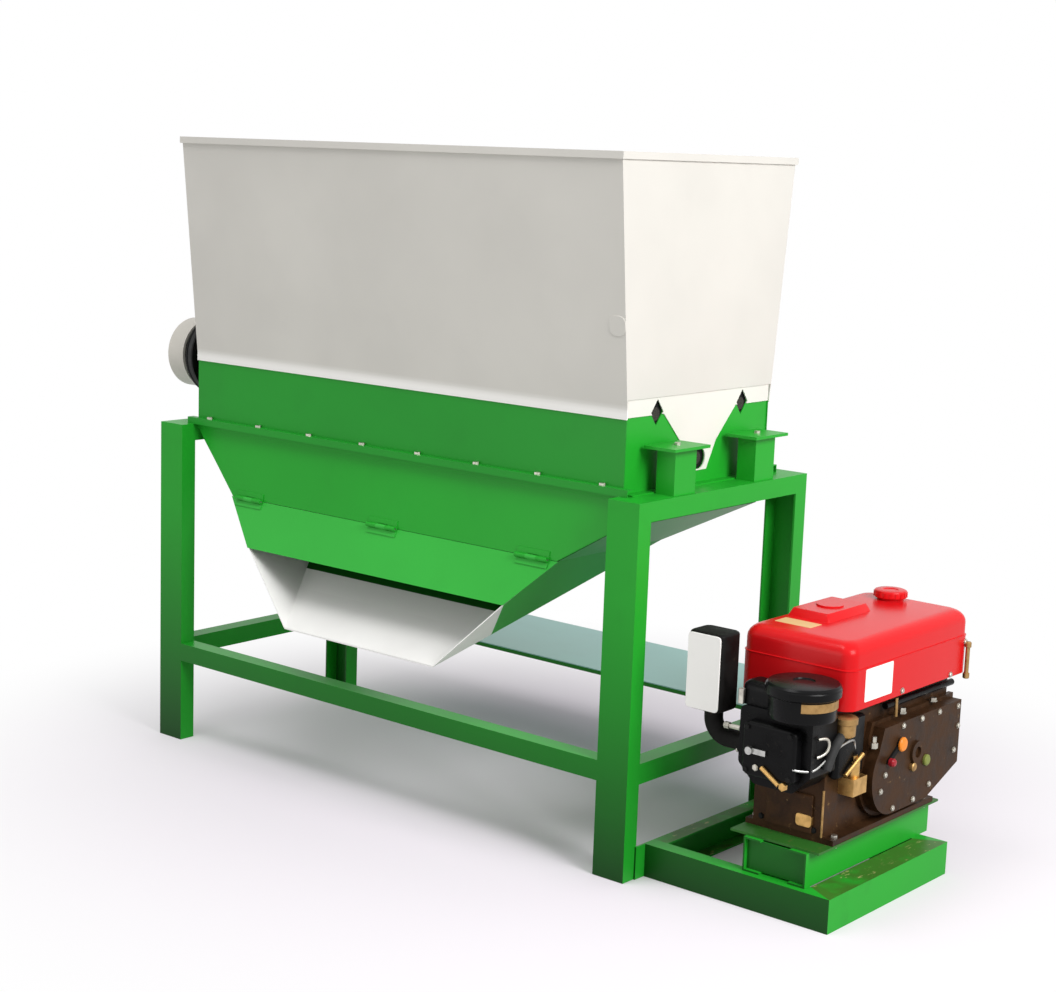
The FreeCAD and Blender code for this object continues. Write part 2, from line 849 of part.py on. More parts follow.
def side_view(shrink):
    """The funnel seen from the side, drawn in by a margin on its front."""
    return [(casing_y, funnel_top), (casing_y, rear_bend_z - wall), (root_y, root_z - lean_wall),
            (flap_y + shrink, flap_z), (hinge_y + shrink, hinge_z), (front_y, bend_z), (front_y, funnel_top)]


def make_funnel_end(label, side):
    """A sloping funnel end, closed at the front by the panel and the flap."""
    body = new_body(label)
    low = root_z - lean_wall
    inner = [(inside_x, deck), (inside_x, bend_z)]
    if side > 0:
        inner = [(inside_x, deck), (inside_x, right_bend_z), (hinge_x, hinge_z)]
    inner.append((side_x_at(low), low))
    shift = lean_wall
    outer = [(x + shift, z) for x, z in reversed(inner)]
    outer[-1] = (inside_x + wall, deck)
    outer[-2] = (inside_x + wall, outer[-2][1])
    points = [(x * side, z) for x, z in inner + outer]
    shrink = wall + "flap_gap"
    pad(body, "XZ_Plane", flap_y - wall, casing_y, [points])
    far = size("frame_length")
    frame = rectangle(-far, far, -wall, far)
    xs = in_order(lip_x * side, (casing_x + wall) * side)
    cut(body, "YZ_Plane", xs[0], xs[1], [frame, side_view(shrink)])


def chute_view():
    """The chute seen from the side."""
    return [(root_y, root_z - lean_wall), (lip_y, lip_z - lean_wall), (lip_y, lip_z),
            (flap_y + wall + "flap_gap", flap_z)]


def make_chute():
    """The discharge chute: floor and two cheeks that continue the funnel."""
    floor = new_body("chute_floor")
    profile = [(root_y, root_z), (root_y, root_z - lean_wall), (lip_y, lip_z - lean_wall), (lip_y, lip_z)]
    wide = side_x_at(root_z)
    pad(floor, "YZ_Plane", -wide, wide, [profile])
    low = lip_z - lean_wall
    outline = [(-wide, root_z), (-side_x_at(low), low), (side_x_at(low), low), (wide, root_z)]
    trim_outline(floor, lip_y - wall, root_y + wall, outline)
    cheeks = []
    for side in (-1, 1):
        cheek = new_piece()
        high = flap_z + wall
        inner = [(side_x_at(high), high), (side_x_at(low), low)]
        outer = [(x + lean_wall, z) for x, z in reversed(inner)]
        points = [(x * side, z) for x, z in inner + outer]
        pad(cheek, "XZ_Plane", lip_y - wall, root_y + wall, [points])
        far = size("frame_length")
        frame = rectangle(-far, far, -wall, far)
        xs = in_order(wall * side, casing_x * side)
        cut(cheek, "YZ_Plane", xs[0], xs[1], [frame, chute_view()])
        cheeks.append(cheek)
    keep_group("chute_cheeks", cheeks)


def make_flap():
    """The hinged lower front panel, lying against the ends' front edges."""
    body = new_body("access_flap")
    drop = size("flap_gap")
    top = hinge_z - drop
    profile = [(hinge_y, top), (hinge_y + wall, top), (flap_y + wall, flap_z), (flap_y, flap_z)]
    pad(body, "YZ_Plane", -inside_x, inside_x, [profile])
    outline = [(-(hinge_x + lean_wall), top), (-(side_x_at(flap_z) + lean_wall), flap_z),
               (side_x_at(flap_z) + lean_wall, flap_z), (hinge_x + lean_wall, top)]
    trim_outline(body, flap_y - wall, hinge_y + wall * 2, outline)


hinge_axis_y = hinge_y - "hinge_stand"
leaf_clear = size("hinge_radius") + "knuckle_gap" + "knuckle_gap"


def leaf_outline(low, high, slope):
    """A hinge leaf on a panel face that leans by a slope, between two heights from the axis."""
    face_low = hinge_y + slope * low
    face_high = hinge_y + slope * high
    thick = size("hinge_leaf_thick")
    return [(face_low, hinge_z + low), (face_low - thick, hinge_z + low),
            (face_high - thick, hinge_z + high), (face_high, hinge_z + high)]


def make_hinge_half(centre_x, upper):
    """One half of a hinge: its leaf and the knuckles that the other half leaves free."""
    body = new_piece()
    third = size("hinge_length") / 3
    left = size(centre_x) - third * 1.5
    gap = size("knuckle_gap")
    bore = (hinge_axis_y, hinge_z, size("hinge_pin_radius") + "running_gap")
    barrel = (hinge_axis_y, hinge_z, "hinge_radius")
    if upper:
        slope = (front_y - hinge_y) / (bend_z - hinge_z)
        spans = [(left, left + third), (left + third * 2, left + third * 3)]
        heights = (leaf_clear, size("hinge_leaf"))
        short = (size(0), size("hinge_leaf"))
    else:
        slope = (hinge_y - flap_y) / (hinge_z - flap_z)
        spans = [(left + third + gap, left + third * 2 - gap)]
        heights = (-size("hinge_leaf"), -leaf_clear - gap)
        short = (-size("hinge_leaf"), -size("flap_gap"))
    pad(body, "YZ_Plane", left, left + third * 3, [leaf_outline(heights[0], heights[1], slope)])
    for low, high in spans:
        pad(body, "YZ_Plane", low, high, [leaf_outline(short[0], short[1], slope)])
        pad(body, "YZ_Plane", low, high, (), [barrel])
        cut(body, "YZ_Plane", low, high, (), [bore])
    return body


def make_hinges():
    """Three barrel hinges on the seam of the flap, with their pins."""
    spread = hinge_x - "hinge_inset"
    places = [-spread, size(0), spread]
    for label, upper in (("hinge_leaves_fixed", True), ("hinge_leaves_moving", False)):
        keep_group(label, [make_hinge_half(centre, upper) for centre in places])
    pins = []
    half = size("hinge_length") / 2
    for centre in places:
        pin = new_piece()
        pad(pin, "YZ_Plane", centre - half, centre + half, (),
            [(hinge_axis_y, hinge_z, "hinge_pin_radius")])
        pins.append(pin)
    keep_group("hinge_pins", pins)


def make_rollers():
    """Three welded rollers: a tube with end discs on a through shaft."""
    high_x = casing_x - "roller_end_gap"
    right_end = casing_x - wall * 2 - "running_gap"
    left_end = -(casing_x + "bearing_thick" + "wheel_gap" + "wheel_thick")
    drum_end = left_end - "drum_gap" - "drum_thick"
    inner = roller_radius - "roller_wall"
    for row, (y, z) in ROLLER_ROWS.items():
        body = new_body(row + "_roller")
        left = drum_end if row == "front" else left_end
        pad(body, "YZ_Plane", left, right_end, (), [(0, 0, "shaft_radius")])
        pad(body, "YZ_Plane", -high_x, high_x, (), [(0, 0, roller_radius), (0, 0, inner)])
        for low, high in ((-high_x, -high_x + "roller_wall"), (high_x - "roller_wall", high_x)):
            pad(body, "YZ_Plane", low, high, (), [(0, 0, inner), (0, 0, "shaft_radius")])
        place(body, 0, y, z)


def make_bearings():
    """Flanged housings: inside the right end plate, outside the left one."""
    housings = []
    for side, outside in ((1, False), (-1, True)):
        start = casing_x if outside else casing_x - wall * 2 - "bearing_thick"
        housings += [make_housing(start, side, y, z, outside) for y, z in ROLLER_ROWS.values()]
    keep_group("roller_bearings", housings)


def make_housing(start, side, y, z, outside):
    """One flanged housing, bored to run on its shaft."""
    body = new_piece()
    bore = size("shaft_radius") + "running_gap"
    end = start + "bearing_thick"
    ends = in_order(start * side, end * side)
    pad(body, "YZ_Plane", ends[0], ends[1], (), [(0, 0, "bearing_radius"), (0, 0, bore)])
    if outside:
        base = in_order(start * side, (start + "bearing_flange") * side)
    else:
        base = in_order((end - "bearing_flange") * side, end * side)
    pad(body, "YZ_Plane", base[0], base[1], (), [(0, 0, "bearing_flange_radius"), (0, 0, "bearing_radius")])
    place(body, 0, y, z)
    return body


def wheel_profile(radius, webbed):
    """Half section of a flanged belt wheel with one groove, along X and outwards along Y."""
    radius = size(radius)
    half = size("wheel_thick") / 2
    groove = size("groove_width") / 2
    floor = radius - "groove_depth"
    bore = size("shaft_radius")
    tread = [(half, radius), (groove, radius), (groove, floor), (-groove, floor), (-groove, radius),
             (-half, radius)]
    if not webbed:
        return [(-half, bore), (half, bore)] + tread
    web = size("wheel_web") / 2
    inner = floor - "wheel_rim"
    hub = size("hub_radius")
    right = [(half, bore), (half, hub), (web, hub), (web, inner), (half, inner)]
    left = [(-half, inner), (-web, inner), (-web, hub), (-half, hub), (-half, bore)]
    return right + tread + left


wheel_x = -(casing_x + "bearing_thick" + "wheel_gap" + size("wheel_thick") / 2)
drum_x = wheel_x - size("wheel_thick") / 2 - "drum_gap" - size("drum_thick") / 2


def make_wheels():
    """The belt wheels that tie the three rollers together at the far end."""
    for row, (y, z) in ROLLER_ROWS.items():
        body = new_body(row + "_wheel")
        webbed = row != "low"
        profile = wheel_profile("wheel_radius" if webbed else "low_wheel_radius", webbed)
        revolve(body, "XY_Plane", "H_Axis", [profile])
        place(body, wheel_x, y, z)


def make_drum():
    """The pale drive drum on the front roller's shaft, closed on its outer side."""
    body = new_body("drive_drum")
    half = size("drum_thick") / 2
    rim = size("drum_radius")
    inner = rim - "drum_wall"
    web = -half + "drum_web"
    bore = size("shaft_radius")
    points = [(-half, bore), (half, bore), (half, "hub_radius"), (web, "hub_radius"), (web, inner),
              (half, inner), (half, rim), (-half, rim)]
    revolve(body, "XY_Plane", "H_Axis", [points])
    place(body, drum_x, *ROLLER_ROWS["front"])


def tangent(first, second):
    """Outer tangent of two circles (y, z, radius), on the right of the way from first to second."""
    dy = second[0] - first[0]
    dz = second[1] - first[1]
    distance = math.hypot(dy, dz)
    angle = math.atan2(dz, dy) - math.acos((first[2] - second[2]) / distance)
    return [(circle[0] + circle[2] * math.cos(angle), circle[1] + circle[2] * math.sin(angle))
            for circle in (first, second)]


def belt_face(circles):
    """The flat area inside a belt line that runs round three wheels."""
    count = len(circles)
    runs = [tangent(circles[index], circles[(index + 1) % count]) for index in range(count)]
    edges = []
    for index, circle in enumerate(circles):
        arrive = runs[index - 1][1]
        leave = runs[index][0]
        start = math.atan2(arrive[1] - circle[1], arrive[0] - circle[0])
        end = math.atan2(leave[1] - circle[1], leave[0] - circle[0])
        if end < start:
            end += 2 * math.pi
        middle = (start + end) / 2
        top = (circle[0] + circle[2] * math.cos(middle), circle[1] + circle[2] * math.sin(middle))
        corners = [FreeCAD.Vector(0, y, z) for y, z in (arrive, top, leave)]
        edges.append(Part.Arc(*corners).toShape())
        ends = [FreeCAD.Vector(0, y, z) for y, z in (leave, runs[index][1])]
        edges.append(Part.LineSegment(*ends).toShape())
    return Part.Face(Part.Wire(edges))


def make_belt():
    """The flat belt round the three wheels, just clear of their groove floors."""
    rise = SIZES["belt_clearance"] - SIZES["groove_depth"]
    radii = {"front": SIZES["wheel_radius"], "low": SIZES["low_wheel_radius"], "rear": SIZES["wheel_radius"]}
    wheels = [(y.number, z.number, radii[row]) for row, (y, z) in ROLLER_ROWS.items()]
    inner = belt_face([(y, z, radius + rise) for y, z, radius in wheels])
    outer = belt_face([(y, z, radius + rise + SIZES["belt_thick"]) for y, z, radius in wheels])
    width = FreeCAD.Vector(SIZES["belt_width"], 0, 0)
    belt = doc.addObject("Part::Feature", "Belt")
    belt.Shape = outer.extrude(width).cut(inner.extrude(width))
    place(belt, wheel_x - size("belt_width") / 2)
    keep(belt, "roller_belt")


stand_face = half_length - "stand_inset"
stand_middle = stand_face - size("stand_depth") / 2
stand_spots = [(stand_middle, size("stand_offset") * row) for row in (-1, 1)]
stand_top = deck + "stand_height"


def make_stands():
    """Two channel stands on the right end beam, each with its square top plate."""
    stands = []
    half = size("stand_width") / 2
    half_wide = size("stand_plate_wide") / 2
    half_long = size("stand_plate_long") / 2
    for x, y in stand_spots:
        body = new_piece()
        outline = channel_outline(stand_face - "stand_depth", stand_face, y - half, y + half, "channel_wall")
        pad(body, "XY_Plane", deck, stand_top, [outline])
        plate = rectangle(x - half_wide, x + half_wide, y - half_long, y + half_long)
        plate_top = stand_top + "stand_plate_thick"
        pad(body, "XY_Plane", stand_top, plate_top, [plate])
        cut(body, "XY_Plane", stand_top, plate_top, (), bolt_holes([(x, y)]))
        stands.append(body)
    keep_group("bearing_stands", stands)


def make_bolt(spot, grip_low, grip_high):
    """An upright hexagon bolt with its nut, gripping between two levels."""
    low = size(grip_low) - "bolt_head"
    pieces = []
    for kind, level, tall, radius_name, radius in (
            ("Part::Prism", grip_high, size("bolt_head"), "Circumradius", "bolt_head_radius"),
            ("Part::Prism", low, size("bolt_head"), "Circumradius", "bolt_head_radius"),
            ("Part::Cylinder", low, size(grip_high) - low, "Radius", "bolt_radius")):
        piece = doc.addObject(kind, "Bolt")
        bind(piece, radius_name, radius)
        bind(piece, "Height", tall)
        place(piece, spot[0], spot[1], level)
        pieces.append(piece)
    bolt = doc.addObject("Part::MultiFuse", "Fastener")
    bolt.Shapes = pieces
    return bolt


def make_bolts():
    """Every upright bolt: on the stands, on the ledges and through the engine's foot."""
    bolts = [make_bolt(spot, stand_top, stand_top + "stand_plate_thick") for spot in stand_spots]
    bolts += [make_bolt(spot, funnel_top - wall, ledge_top) for side in (-1, 1) for spot in ledge_spots(side)]
    bolts += [make_bolt(spot, riser_top, mount_top + "foot_thick") for spot in engine_spots()]
    keep_group("machine_bolts", bolts)


# Places of the engine and its base
base_left = half_length
base_right = half_length + "base_length"
base_front = -(leg_inner_y - "base_set_in")
base_rear = size("base_rear")
base_top = size("base_height")
riser_front = base_front + "riser_set_back"
riser_rear = base_rear + "riser_over"
riser_top = base_top + "riser_height"
mount_top = riser_top + "mount_plate_thick"
block_left = half_length + "engine_out"
block_right = block_left + "block_length"
block_front = -size("block_front")
cover_face = block_right + "cover_thick"
head_left = block_left + "head_in"
head_right = block_right + "head_over"
head_front = block_front - "head_depth"
crank_y = size("crank_offset")
crank_z = size("crank_height")
muffler_right = block_left - "muffler_gap"
muffler_left = muffler_right - "muffler_width"
elbow_y = size("elbow_back") - "muffler_front"


def make_engine_base():
    """Mitred channel rails on the floor, a lug to the leg, risers and the mounting plate."""
    flange = size("base_flange")
    corner = base_right - "end_rail_flange"
    edges = [(base_front, base_front + flange), (base_rear, base_rear - flange)]
    rails = []
    for web, tip in edges:
        rail = new_piece()
        pad(rail, "YZ_Plane", base_left, base_right, [channel_outline(tip, web, 0, base_top, "base_wall")])
        cut(rail, "XY_Plane", 0, base_top, [[(base_right, web), (base_right, tip), (corner, tip)]])
        rails.append(rail)
    lug = new_piece()
    lug_front = -(leg_inner_y + "base_lap")
    pad(lug, "XY_Plane", 0, base_top, [rectangle(base_left, base_left + "base_wall", lug_front, base_front)])
    keep_group("engine_base_rails", rails + [lug])
    end_rail = new_piece()
    outline = channel_outline(corner, base_right, 0, base_top, "base_wall")
    pad(end_rail, "XZ_Plane", base_front, base_rear, [outline])
    for web, tip in edges:
        cut(end_rail, "XY_Plane", 0, base_top, [[(base_right, web), (corner, web), (corner, tip)]])
    cross = new_piece()
    pad(cross, "XZ_Plane", base_front + flange, base_rear - flange,
        [channel_outline(base_left + flange, base_left, 0, base_top, "base_wall")])
    keep_group("base_cross_rails", [end_rail, cross])
    make_risers()
    plate = new_body("engine_plate")
    pad(plate, "XY_Plane", riser_top, mount_top,
        [rectangle(block_left - "plate_lap_left", block_right + "plate_lap_right",
                   riser_front + "plate_set_back", riser_rear)])
    cut(plate, "XY_Plane", riser_top, mount_top, (), bolt_holes(engine_spots()))


def make_risers():
    """Two channels across the base and the plate that closes the space between them in front."""
    left = block_left + "riser_inset"
    right = block_right + "riser_out"
    flange = size("riser_flange")
    risers = []
    for web, tip in ((left, left + flange), (right, right - flange)):
        riser = new_piece()
        pad(riser, "XZ_Plane", riser_front, riser_rear,
            [channel_outline(tip, web, base_top, riser_top, "base_wall")])
        risers.append(riser)
    closer = new_piece()
    front = riser_front + "closer_set_back"
    pad(closer, "XZ_Plane", front, front + "base_wall",
        [rectangle(left + "base_wall", right - "base_wall", base_top + "base_wall", riser_top - "base_wall")])
    keep_group("engine_risers", risers + [closer])


def engine_spots():
    """Bolt centres on the engine's foot."""
    columns = (block_left - "foot_bolt_out_left", block_right + "foot_bolt_out_right")
    rows = (block_front + "foot_bolt_inset", size("foot_rear") - "foot_bolt_inset")
    return [(x, y) for x in columns for y in rows]


def make_crankcase():
    """The engine block on its foot, with the crank tunnel bored along X and a cover on its back."""
    body = new_body("crankcase")
    foot_top = mount_top + "foot_thick"
    rear = size("case_rear")
    top = size("case_top")
    belly = crank_z - "case_belly"
    shoulder = size("block_shoulder")
    outline = [(block_front, foot_top), (block_front, top - shoulder), (block_front + shoulder, top),
               (rear, top), (rear, belly), ("case_low_rear", foot_top)]
    block = pad(body, "YZ_Plane", block_left, block_right, [outline])
    along = edges_along(0)
    high = foot_top.number + NEAR
    round_edges(body, block, "case_round", lambda edge: along(edge) and edge.CenterOfMass.z > high)
    foot = rectangle(block_left - "foot_lug_left", block_right + "foot_lug_right", block_front, "foot_rear")
    pad(body, "XY_Plane", mount_top, foot_top, [foot])
    inset = size("back_cover_inset")
    cover = (block_left + inset, block_right - inset, belly + inset, top - inset, "case_round")
    pad(body, "XZ_Plane", rear, rear + "back_cover_thick", rounded=[cover])
    tunnel = (crank_y, crank_z, size("crank_radius") + "running_gap")
    cut(body, "YZ_Plane", block_left, block_right, (), [tunnel])
    cut(body, "XY_Plane", mount_top, foot_top, (), bolt_holes(engine_spots()))


def make_gear_cover():
    """The timing gear cover: a flat flange, a raised face with a round sump, and the starter socket."""
    body = new_body("gear_cover")
    low = mount_top + "foot_thick" + "cover_clear"
    front = -size("cover_front")
    radius = size("cover_sump_radius")
    flange_face = block_right + "cover_flange"
    steps = [(block_right, flange_face, size(0)), (flange_face, cover_face, size("cover_lip"))]
    for start, end, lip in steps:
        top = size("cover_top") - lip
        rear = size("cover_rear") - lip
        outline = [(front + lip, low + radius), (front + "cover_slant" + lip, top), (rear, top),
                   (rear, "cover_waist"), ("cover_sump_rear", low + lip), (front + radius, low + lip)]
        pad(body, "YZ_Plane", start, end, [outline])
        pad(body, "YZ_Plane", start, end, (), [(front + radius, low + radius, radius - lip)])
    boss_face = cover_face + "cover_boss"
    pad(body, "YZ_Plane", cover_face, boss_face, (), [(crank_y, crank_z, "cover_boss_radius")])
    cut(body, "YZ_Plane", cover_face, boss_face, (), [(crank_y, crank_z, "cover_socket_radius")])


def make_pump():
    """The injection pump on the block's side: body, barrel and delivery union."""
    body = new_body("injection_pump")
    half = size("pump_wide") / 2
    y = -size("pump_forward")
    x = block_right + size("pump_deep") / 2
    base = rectangle(block_right, block_right + "pump_deep", y - half, y + half)
    pad(body, "XY_Plane", "pump_low", "pump_high", [base])
    union_low = size("pump_high") + "pump_barrel"
    pad(body, "XY_Plane", "pump_high", union_low, (), [(x, y, "pump_radius")])
    pad(body, "XY_Plane", union_low, union_low + "pump_union", (), [(x, y, "pump_union_radius")])


def make_speed_lever():
    """The speed lever on the gear cover: boss, arm and knob."""
    body = new_body("speed_lever")
    start = cover_face + "lever_gap"
    end = start + "lever_thick"
    reach_y = -size("speed_reach_y")
    reach_z = -size("speed_reach_z")
    half = size("lever_half_width")
    arm = [(0, half), (0, -half), (reach_y, reach_z - half), (reach_y, reach_z + half)]
    pad(body, "YZ_Plane", start, end, [arm])
    pad(body, "YZ_Plane", start, end + "lever_thick", (), [(0, 0, "speed_boss_radius")])
    pad(body, "YZ_Plane", start, start + "speed_knob_thick", (), [(reach_y, reach_z, "speed_knob_radius")])
    place(body, 0, "speed_pivot_y", "speed_pivot_z")


def make_decompression_lever():
    """The small lever on the rocker cover that lifts the exhaust valve for starting."""
    body = new_body("decompression_lever")
    face = head_front - "rocker_depth" - "lever_gap"
    half = size("lever_half_width")
    arm = [(0, half), (0, -half), ("decomp_reach", -half), ("decomp_reach", half)]
    pad(body, "XZ_Plane", face - "lever_thick", face, [arm])
    pad(body, "XZ_Plane", face - "lever_thick" - "lever_thick", face, (), [(0, 0, "decomp_boss_radius")])
    place(body, block_left + "decomp_in", 0, "decomp_z")


def make_head():
    """The cylinder head with its sloping underside, and the pressed rocker cover."""
    head = new_body("cylinder_head")
    low = size("head_bottom")
    high = size("head_top")
    chin = size("head_chin")
    outline = [(head_left, low + chin), (head_left + chin, low), (head_right - chin, low),
               (head_right, low + chin), (head_right, high), (head_left, high)]
    casting = pad(head, "XZ_Plane", head_front, block_front, [outline])
    round_edges(head, casting, "head_round", edges_along(1))
    cover = new_body("rocker_cover")
    inset = size("rocker_inset")
    box = (head_left + inset, head_right - inset, low + inset, high - inset, "rocker_corner")
    face = head_front - "rocker_depth"
    pressing = pad(cover, "XZ_Plane", face, head_front, rounded=[box])
    level = face.number + NEAR
    round_edges(cover, pressing, "rocker_round", lambda edge: edge.BoundBox.YMax < level)


def make_hood():
    """The red hood that holds fuel and cooling water: skirt, seam and rounded crown."""
    body = new_body("fuel_hood")
    low = size("case_top")
    seam = low + "hood_skirt"
    high = low + "hood_height"
    left = block_left - "hood_over_left"
    right = block_right + "hood_over_right"
    front = -size("hood_front")
    rear = size("hood_rear")
    lip = size("hood_lip")
    corner = size("hood_corner")
    pad(body, "XY_Plane", low, seam, rounded=[(left, right, front, rear, corner)])
    inner = (left + lip, right - lip, front + lip, rear - lip, corner - lip)
    crown = pad(body, "XY_Plane", seam, high, rounded=[inner])
    round_edges(body, crown, "hood_round", level_edges(high))
    make_hatch(left, front, high)
    make_cap(left, rear, high)


HATCH_TAPER = 25.0  # degrees by which the hatch's sides lean in


def make_hatch(left, front, high):
    """The raised lid on the hood, with sloping sides and a round boss."""
    hatch = new_body("hood_hatch")
    hatch_left = left + "hatch_in"
    hatch_right = hatch_left + "hatch_width"
    hatch_front = front + "hatch_set_back"
    hatch_rear = hatch_front + "hatch_length"
    hatch_top = high + "hatch_height"
    outline = rectangle(hatch_left, hatch_right, hatch_front, hatch_rear)
    lid = pad(hatch, "XY_Plane", high, hatch_top, [outline])
    lid.TaperAngle = -HATCH_TAPER
    middle = ((hatch_left + hatch_right) / 2, (hatch_front + hatch_rear) / 2, "hatch_disc_radius")
    pad(hatch, "XY_Plane", hatch_top, hatch_top + "hatch_disc", (), [middle])


def make_cap(left, rear, high):
    """The fuel cap on its neck."""
    cap = new_body("fuel_cap")
    neck = size("neck_height")
    top = neck + "cap_height"
    edge = size("cap_edge")
    rim = size("cap_radius")
    profile = [(0, 0), ("cap_skirt", 0), ("cap_skirt", neck), (rim, neck), (rim, top - edge),
               (rim - edge, top), (0, top)]
    revolve(cap, "XZ_Plane", "V_Axis", [profile])
    place(cap, left + "cap_in", rear - "cap_set_in", high)


def make_air_cleaner():
    """The round air cleaner on the head, turned in one piece with its lid."""
    body = new_body("air_cleaner")
    radius = size("cleaner_radius")
    lid = size("cleaner_cap_radius")
    edge = size("cleaner_edge")
    shelf = size("cleaner_body")
    top = shelf + "cleaner_cap"
    profile = [(0, 0), (radius - edge, 0), (radius, edge), (radius, shelf), (lid, shelf),
               (lid, top - edge), (lid - edge, top), (0, top)]
    revolve(body, "XZ_Plane", "V_Axis", [profile])
    place(body, block_right - "cleaner_in", -size("cleaner_forward"), "head_top")


def make_exhaust():
    """The muffler box with its heat guard, and the bent elbow that joins it to the head."""
    box = new_body("muffler")
    front = -size("muffler_front")
    low = size("muffler_bottom")
    high = size("muffler_top")
    shell_front = front + "guard_thick"
    outline = (muffler_left, muffler_right, shell_front, front + "muffler_depth", "muffler_corner")
    shell = pad(box, "XY_Plane", low, high, rounded=[outline])
    round_edges(box, shell, "muffler_round", level_edges(low, high))
    side = size("guard_inset")
    end = size("guard_end")
    guard = (muffler_left + side, muffler_right - side, low + end, high - end, "guard_corner")
    pad(box, "XZ_Plane", front, shell_front, rounded=[guard])
    make_elbow((muffler_left + muffler_right) / 2)


def make_elbow(pipe_x):
    """A quarter bend about the body's own origin, with a straight end and a flange each way."""
    body = new_body("exhaust_elbow")
    bend = size("elbow_bend")
    centre_x = pipe_x + bend
    centre_z = size("elbow_height") + bend
    up = size("muffler_bottom") - centre_z
    across = head_left - centre_x
    flange = size("elbow_flange")
    pad(body, "XY_Plane", up - flange, up, (), [(-bend, 0, "elbow_flange_radius")])
    pad(body, "XY_Plane", 0, up - flange, (), [(-bend, 0, "elbow_radius")])
    turn = revolve(body, "XY_Plane", "V_Axis", (), [(-bend, 0, "elbow_radius")])
    turn.Angle = QUARTER_TURN
    turn.Reversed = True
    pad(body, "YZ_Plane", 0, across - flange, (), [(0, -bend, "elbow_radius")])
    pad(body, "YZ_Plane", across - flange, across, (), [(0, -bend, "elbow_flange_radius")])
    place(body, centre_x, elbow_y, centre_z)


def make_crank():
    """The crankshaft with its end nut, and the webbed flywheel that it carries beside the frame."""
    wheel_right = block_left - "flywheel_gap"
    wheel_left = wheel_right - "flywheel_thick"
    shaft = new_body("crankshaft")
    pad(shaft, "YZ_Plane", wheel_left, block_right, (), [(0, 0, "crank_radius")])
    pad(shaft, "YZ_Plane", wheel_left - "crank_nut", wheel_left, (), [(0, 0, "crank_nut_radius")])
    place(shaft, 0, crank_y, crank_z)
    wheel = new_body("flywheel")
    half = size("flywheel_thick") / 2
    web = size("flywheel_web") / 2
    hub = size("flywheel_hub_radius")
    rim = size("flywheel_radius")
    inner = rim - "flywheel_rim"
    right = [(half, "crank_radius"), (half, hub), (web, hub), (web, inner), (half, inner), (half, rim)]
    left = [(-size(x), y) for x, y in reversed(right)]
    revolve(wheel, "XY_Plane", "H_Axis", [right + left])
    place(wheel, wheel_right - half, crank_y, crank_z)


make_frame()
make_rear_tray()
make_casing()
make_hopper()
make_funnel_front()
make_funnel_slide()
make_funnel_end("funnel_end_left", -1)
make_funnel_end("funnel_end_right", 1)
make_chute()
make_flap()
make_hinges()
make_rollers()
make_bearings()
make_wheels()
make_drum()
make_belt()
make_stands()
make_engine_base()
make_crankcase()
make_gear_cover()
make_head()
make_pump()
make_hood()
make_air_cleaner()
make_exhaust()
make_crank()
make_speed_lever()
make_decompression_lever()
make_bolts()

# From the middle of the frame to the middle of the whole machine
middle_x = (drum_x - size("drum_thick") / 2 + base_right) / 2
middle_y = (lip_y + half_width + "tray_reach") / 2
for node in NODES:
    x, y, z = PLACES.get(node.Name, (size(0), size(0), size(0)))
    place(node, x - middle_x, y - middle_y, z)

doc.recompute()
problems = [item.Name for item in doc.Objects if "Invalid" in item.State or "Error" in item.State]
if problems:
    raise RuntimeError("failed objects: " + ", ".join(problems))
os.makedirs("parts", exist_ok=True)
for node in NODES:
    shape = node.Shape
    if shape.isNull() or not shape.isValid():
        raise RuntimeError("bad shape: " + node.Label)
for node in NODES:
    node.Shape.exportStep("parts/%s.step" % node.Label)
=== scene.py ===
import json
import math
import bpy
from mathutils import Matrix, Vector


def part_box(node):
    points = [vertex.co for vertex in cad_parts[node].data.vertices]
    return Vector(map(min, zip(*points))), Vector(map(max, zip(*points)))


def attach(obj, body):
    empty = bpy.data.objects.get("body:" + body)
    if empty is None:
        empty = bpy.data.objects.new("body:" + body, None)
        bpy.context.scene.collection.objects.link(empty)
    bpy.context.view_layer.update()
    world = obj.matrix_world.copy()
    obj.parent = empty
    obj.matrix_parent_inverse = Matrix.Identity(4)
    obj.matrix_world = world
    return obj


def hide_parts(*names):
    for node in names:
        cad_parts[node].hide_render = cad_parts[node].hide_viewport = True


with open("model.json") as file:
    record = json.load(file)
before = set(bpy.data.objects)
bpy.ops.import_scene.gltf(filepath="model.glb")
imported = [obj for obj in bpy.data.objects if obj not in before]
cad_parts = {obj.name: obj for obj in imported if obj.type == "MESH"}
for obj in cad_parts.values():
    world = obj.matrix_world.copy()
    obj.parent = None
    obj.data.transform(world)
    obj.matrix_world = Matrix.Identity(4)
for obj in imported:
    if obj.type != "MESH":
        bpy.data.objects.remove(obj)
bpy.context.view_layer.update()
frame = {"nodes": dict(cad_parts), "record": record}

# Looks of a cassava peeling machine: painted channel frame and sheet work, roller drive, diesel engine.
# Everything is in metres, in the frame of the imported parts. +X points to the engine, -Y to the front.

bl_info = {
    "name": "Cassava Peeler Looks",
    "version": (1, 0, 0),
    "blender": (4, 5, 0),
    "location": "3D View > Sidebar > Peeler",
    "description": "Finishes and modelled details of a cassava peeling machine",
    "category": "Object",
}

MM = 0.001
MAIN_BODY = "machine"
ENDS_WHITE_TO = 0.80  # the funnel ends are white inside up to this height, with painted shade inside above it
SLIDE_WHITE_TO = 0.596  # so is the slide, up to a little below the flap's edge as the eye sees it, so that painted shade shows above it under the flap
FOOT_SHADE_TOP = 0.75  # painted shade: the front faces of the frame darken below this height
HEM_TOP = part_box("hopper_front")[0][2] + 0.026  # upper edge of the hopper's upright hem


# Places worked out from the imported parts

def corner_box(node):
    low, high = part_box(node)
    return Vector(low), Vector(high)


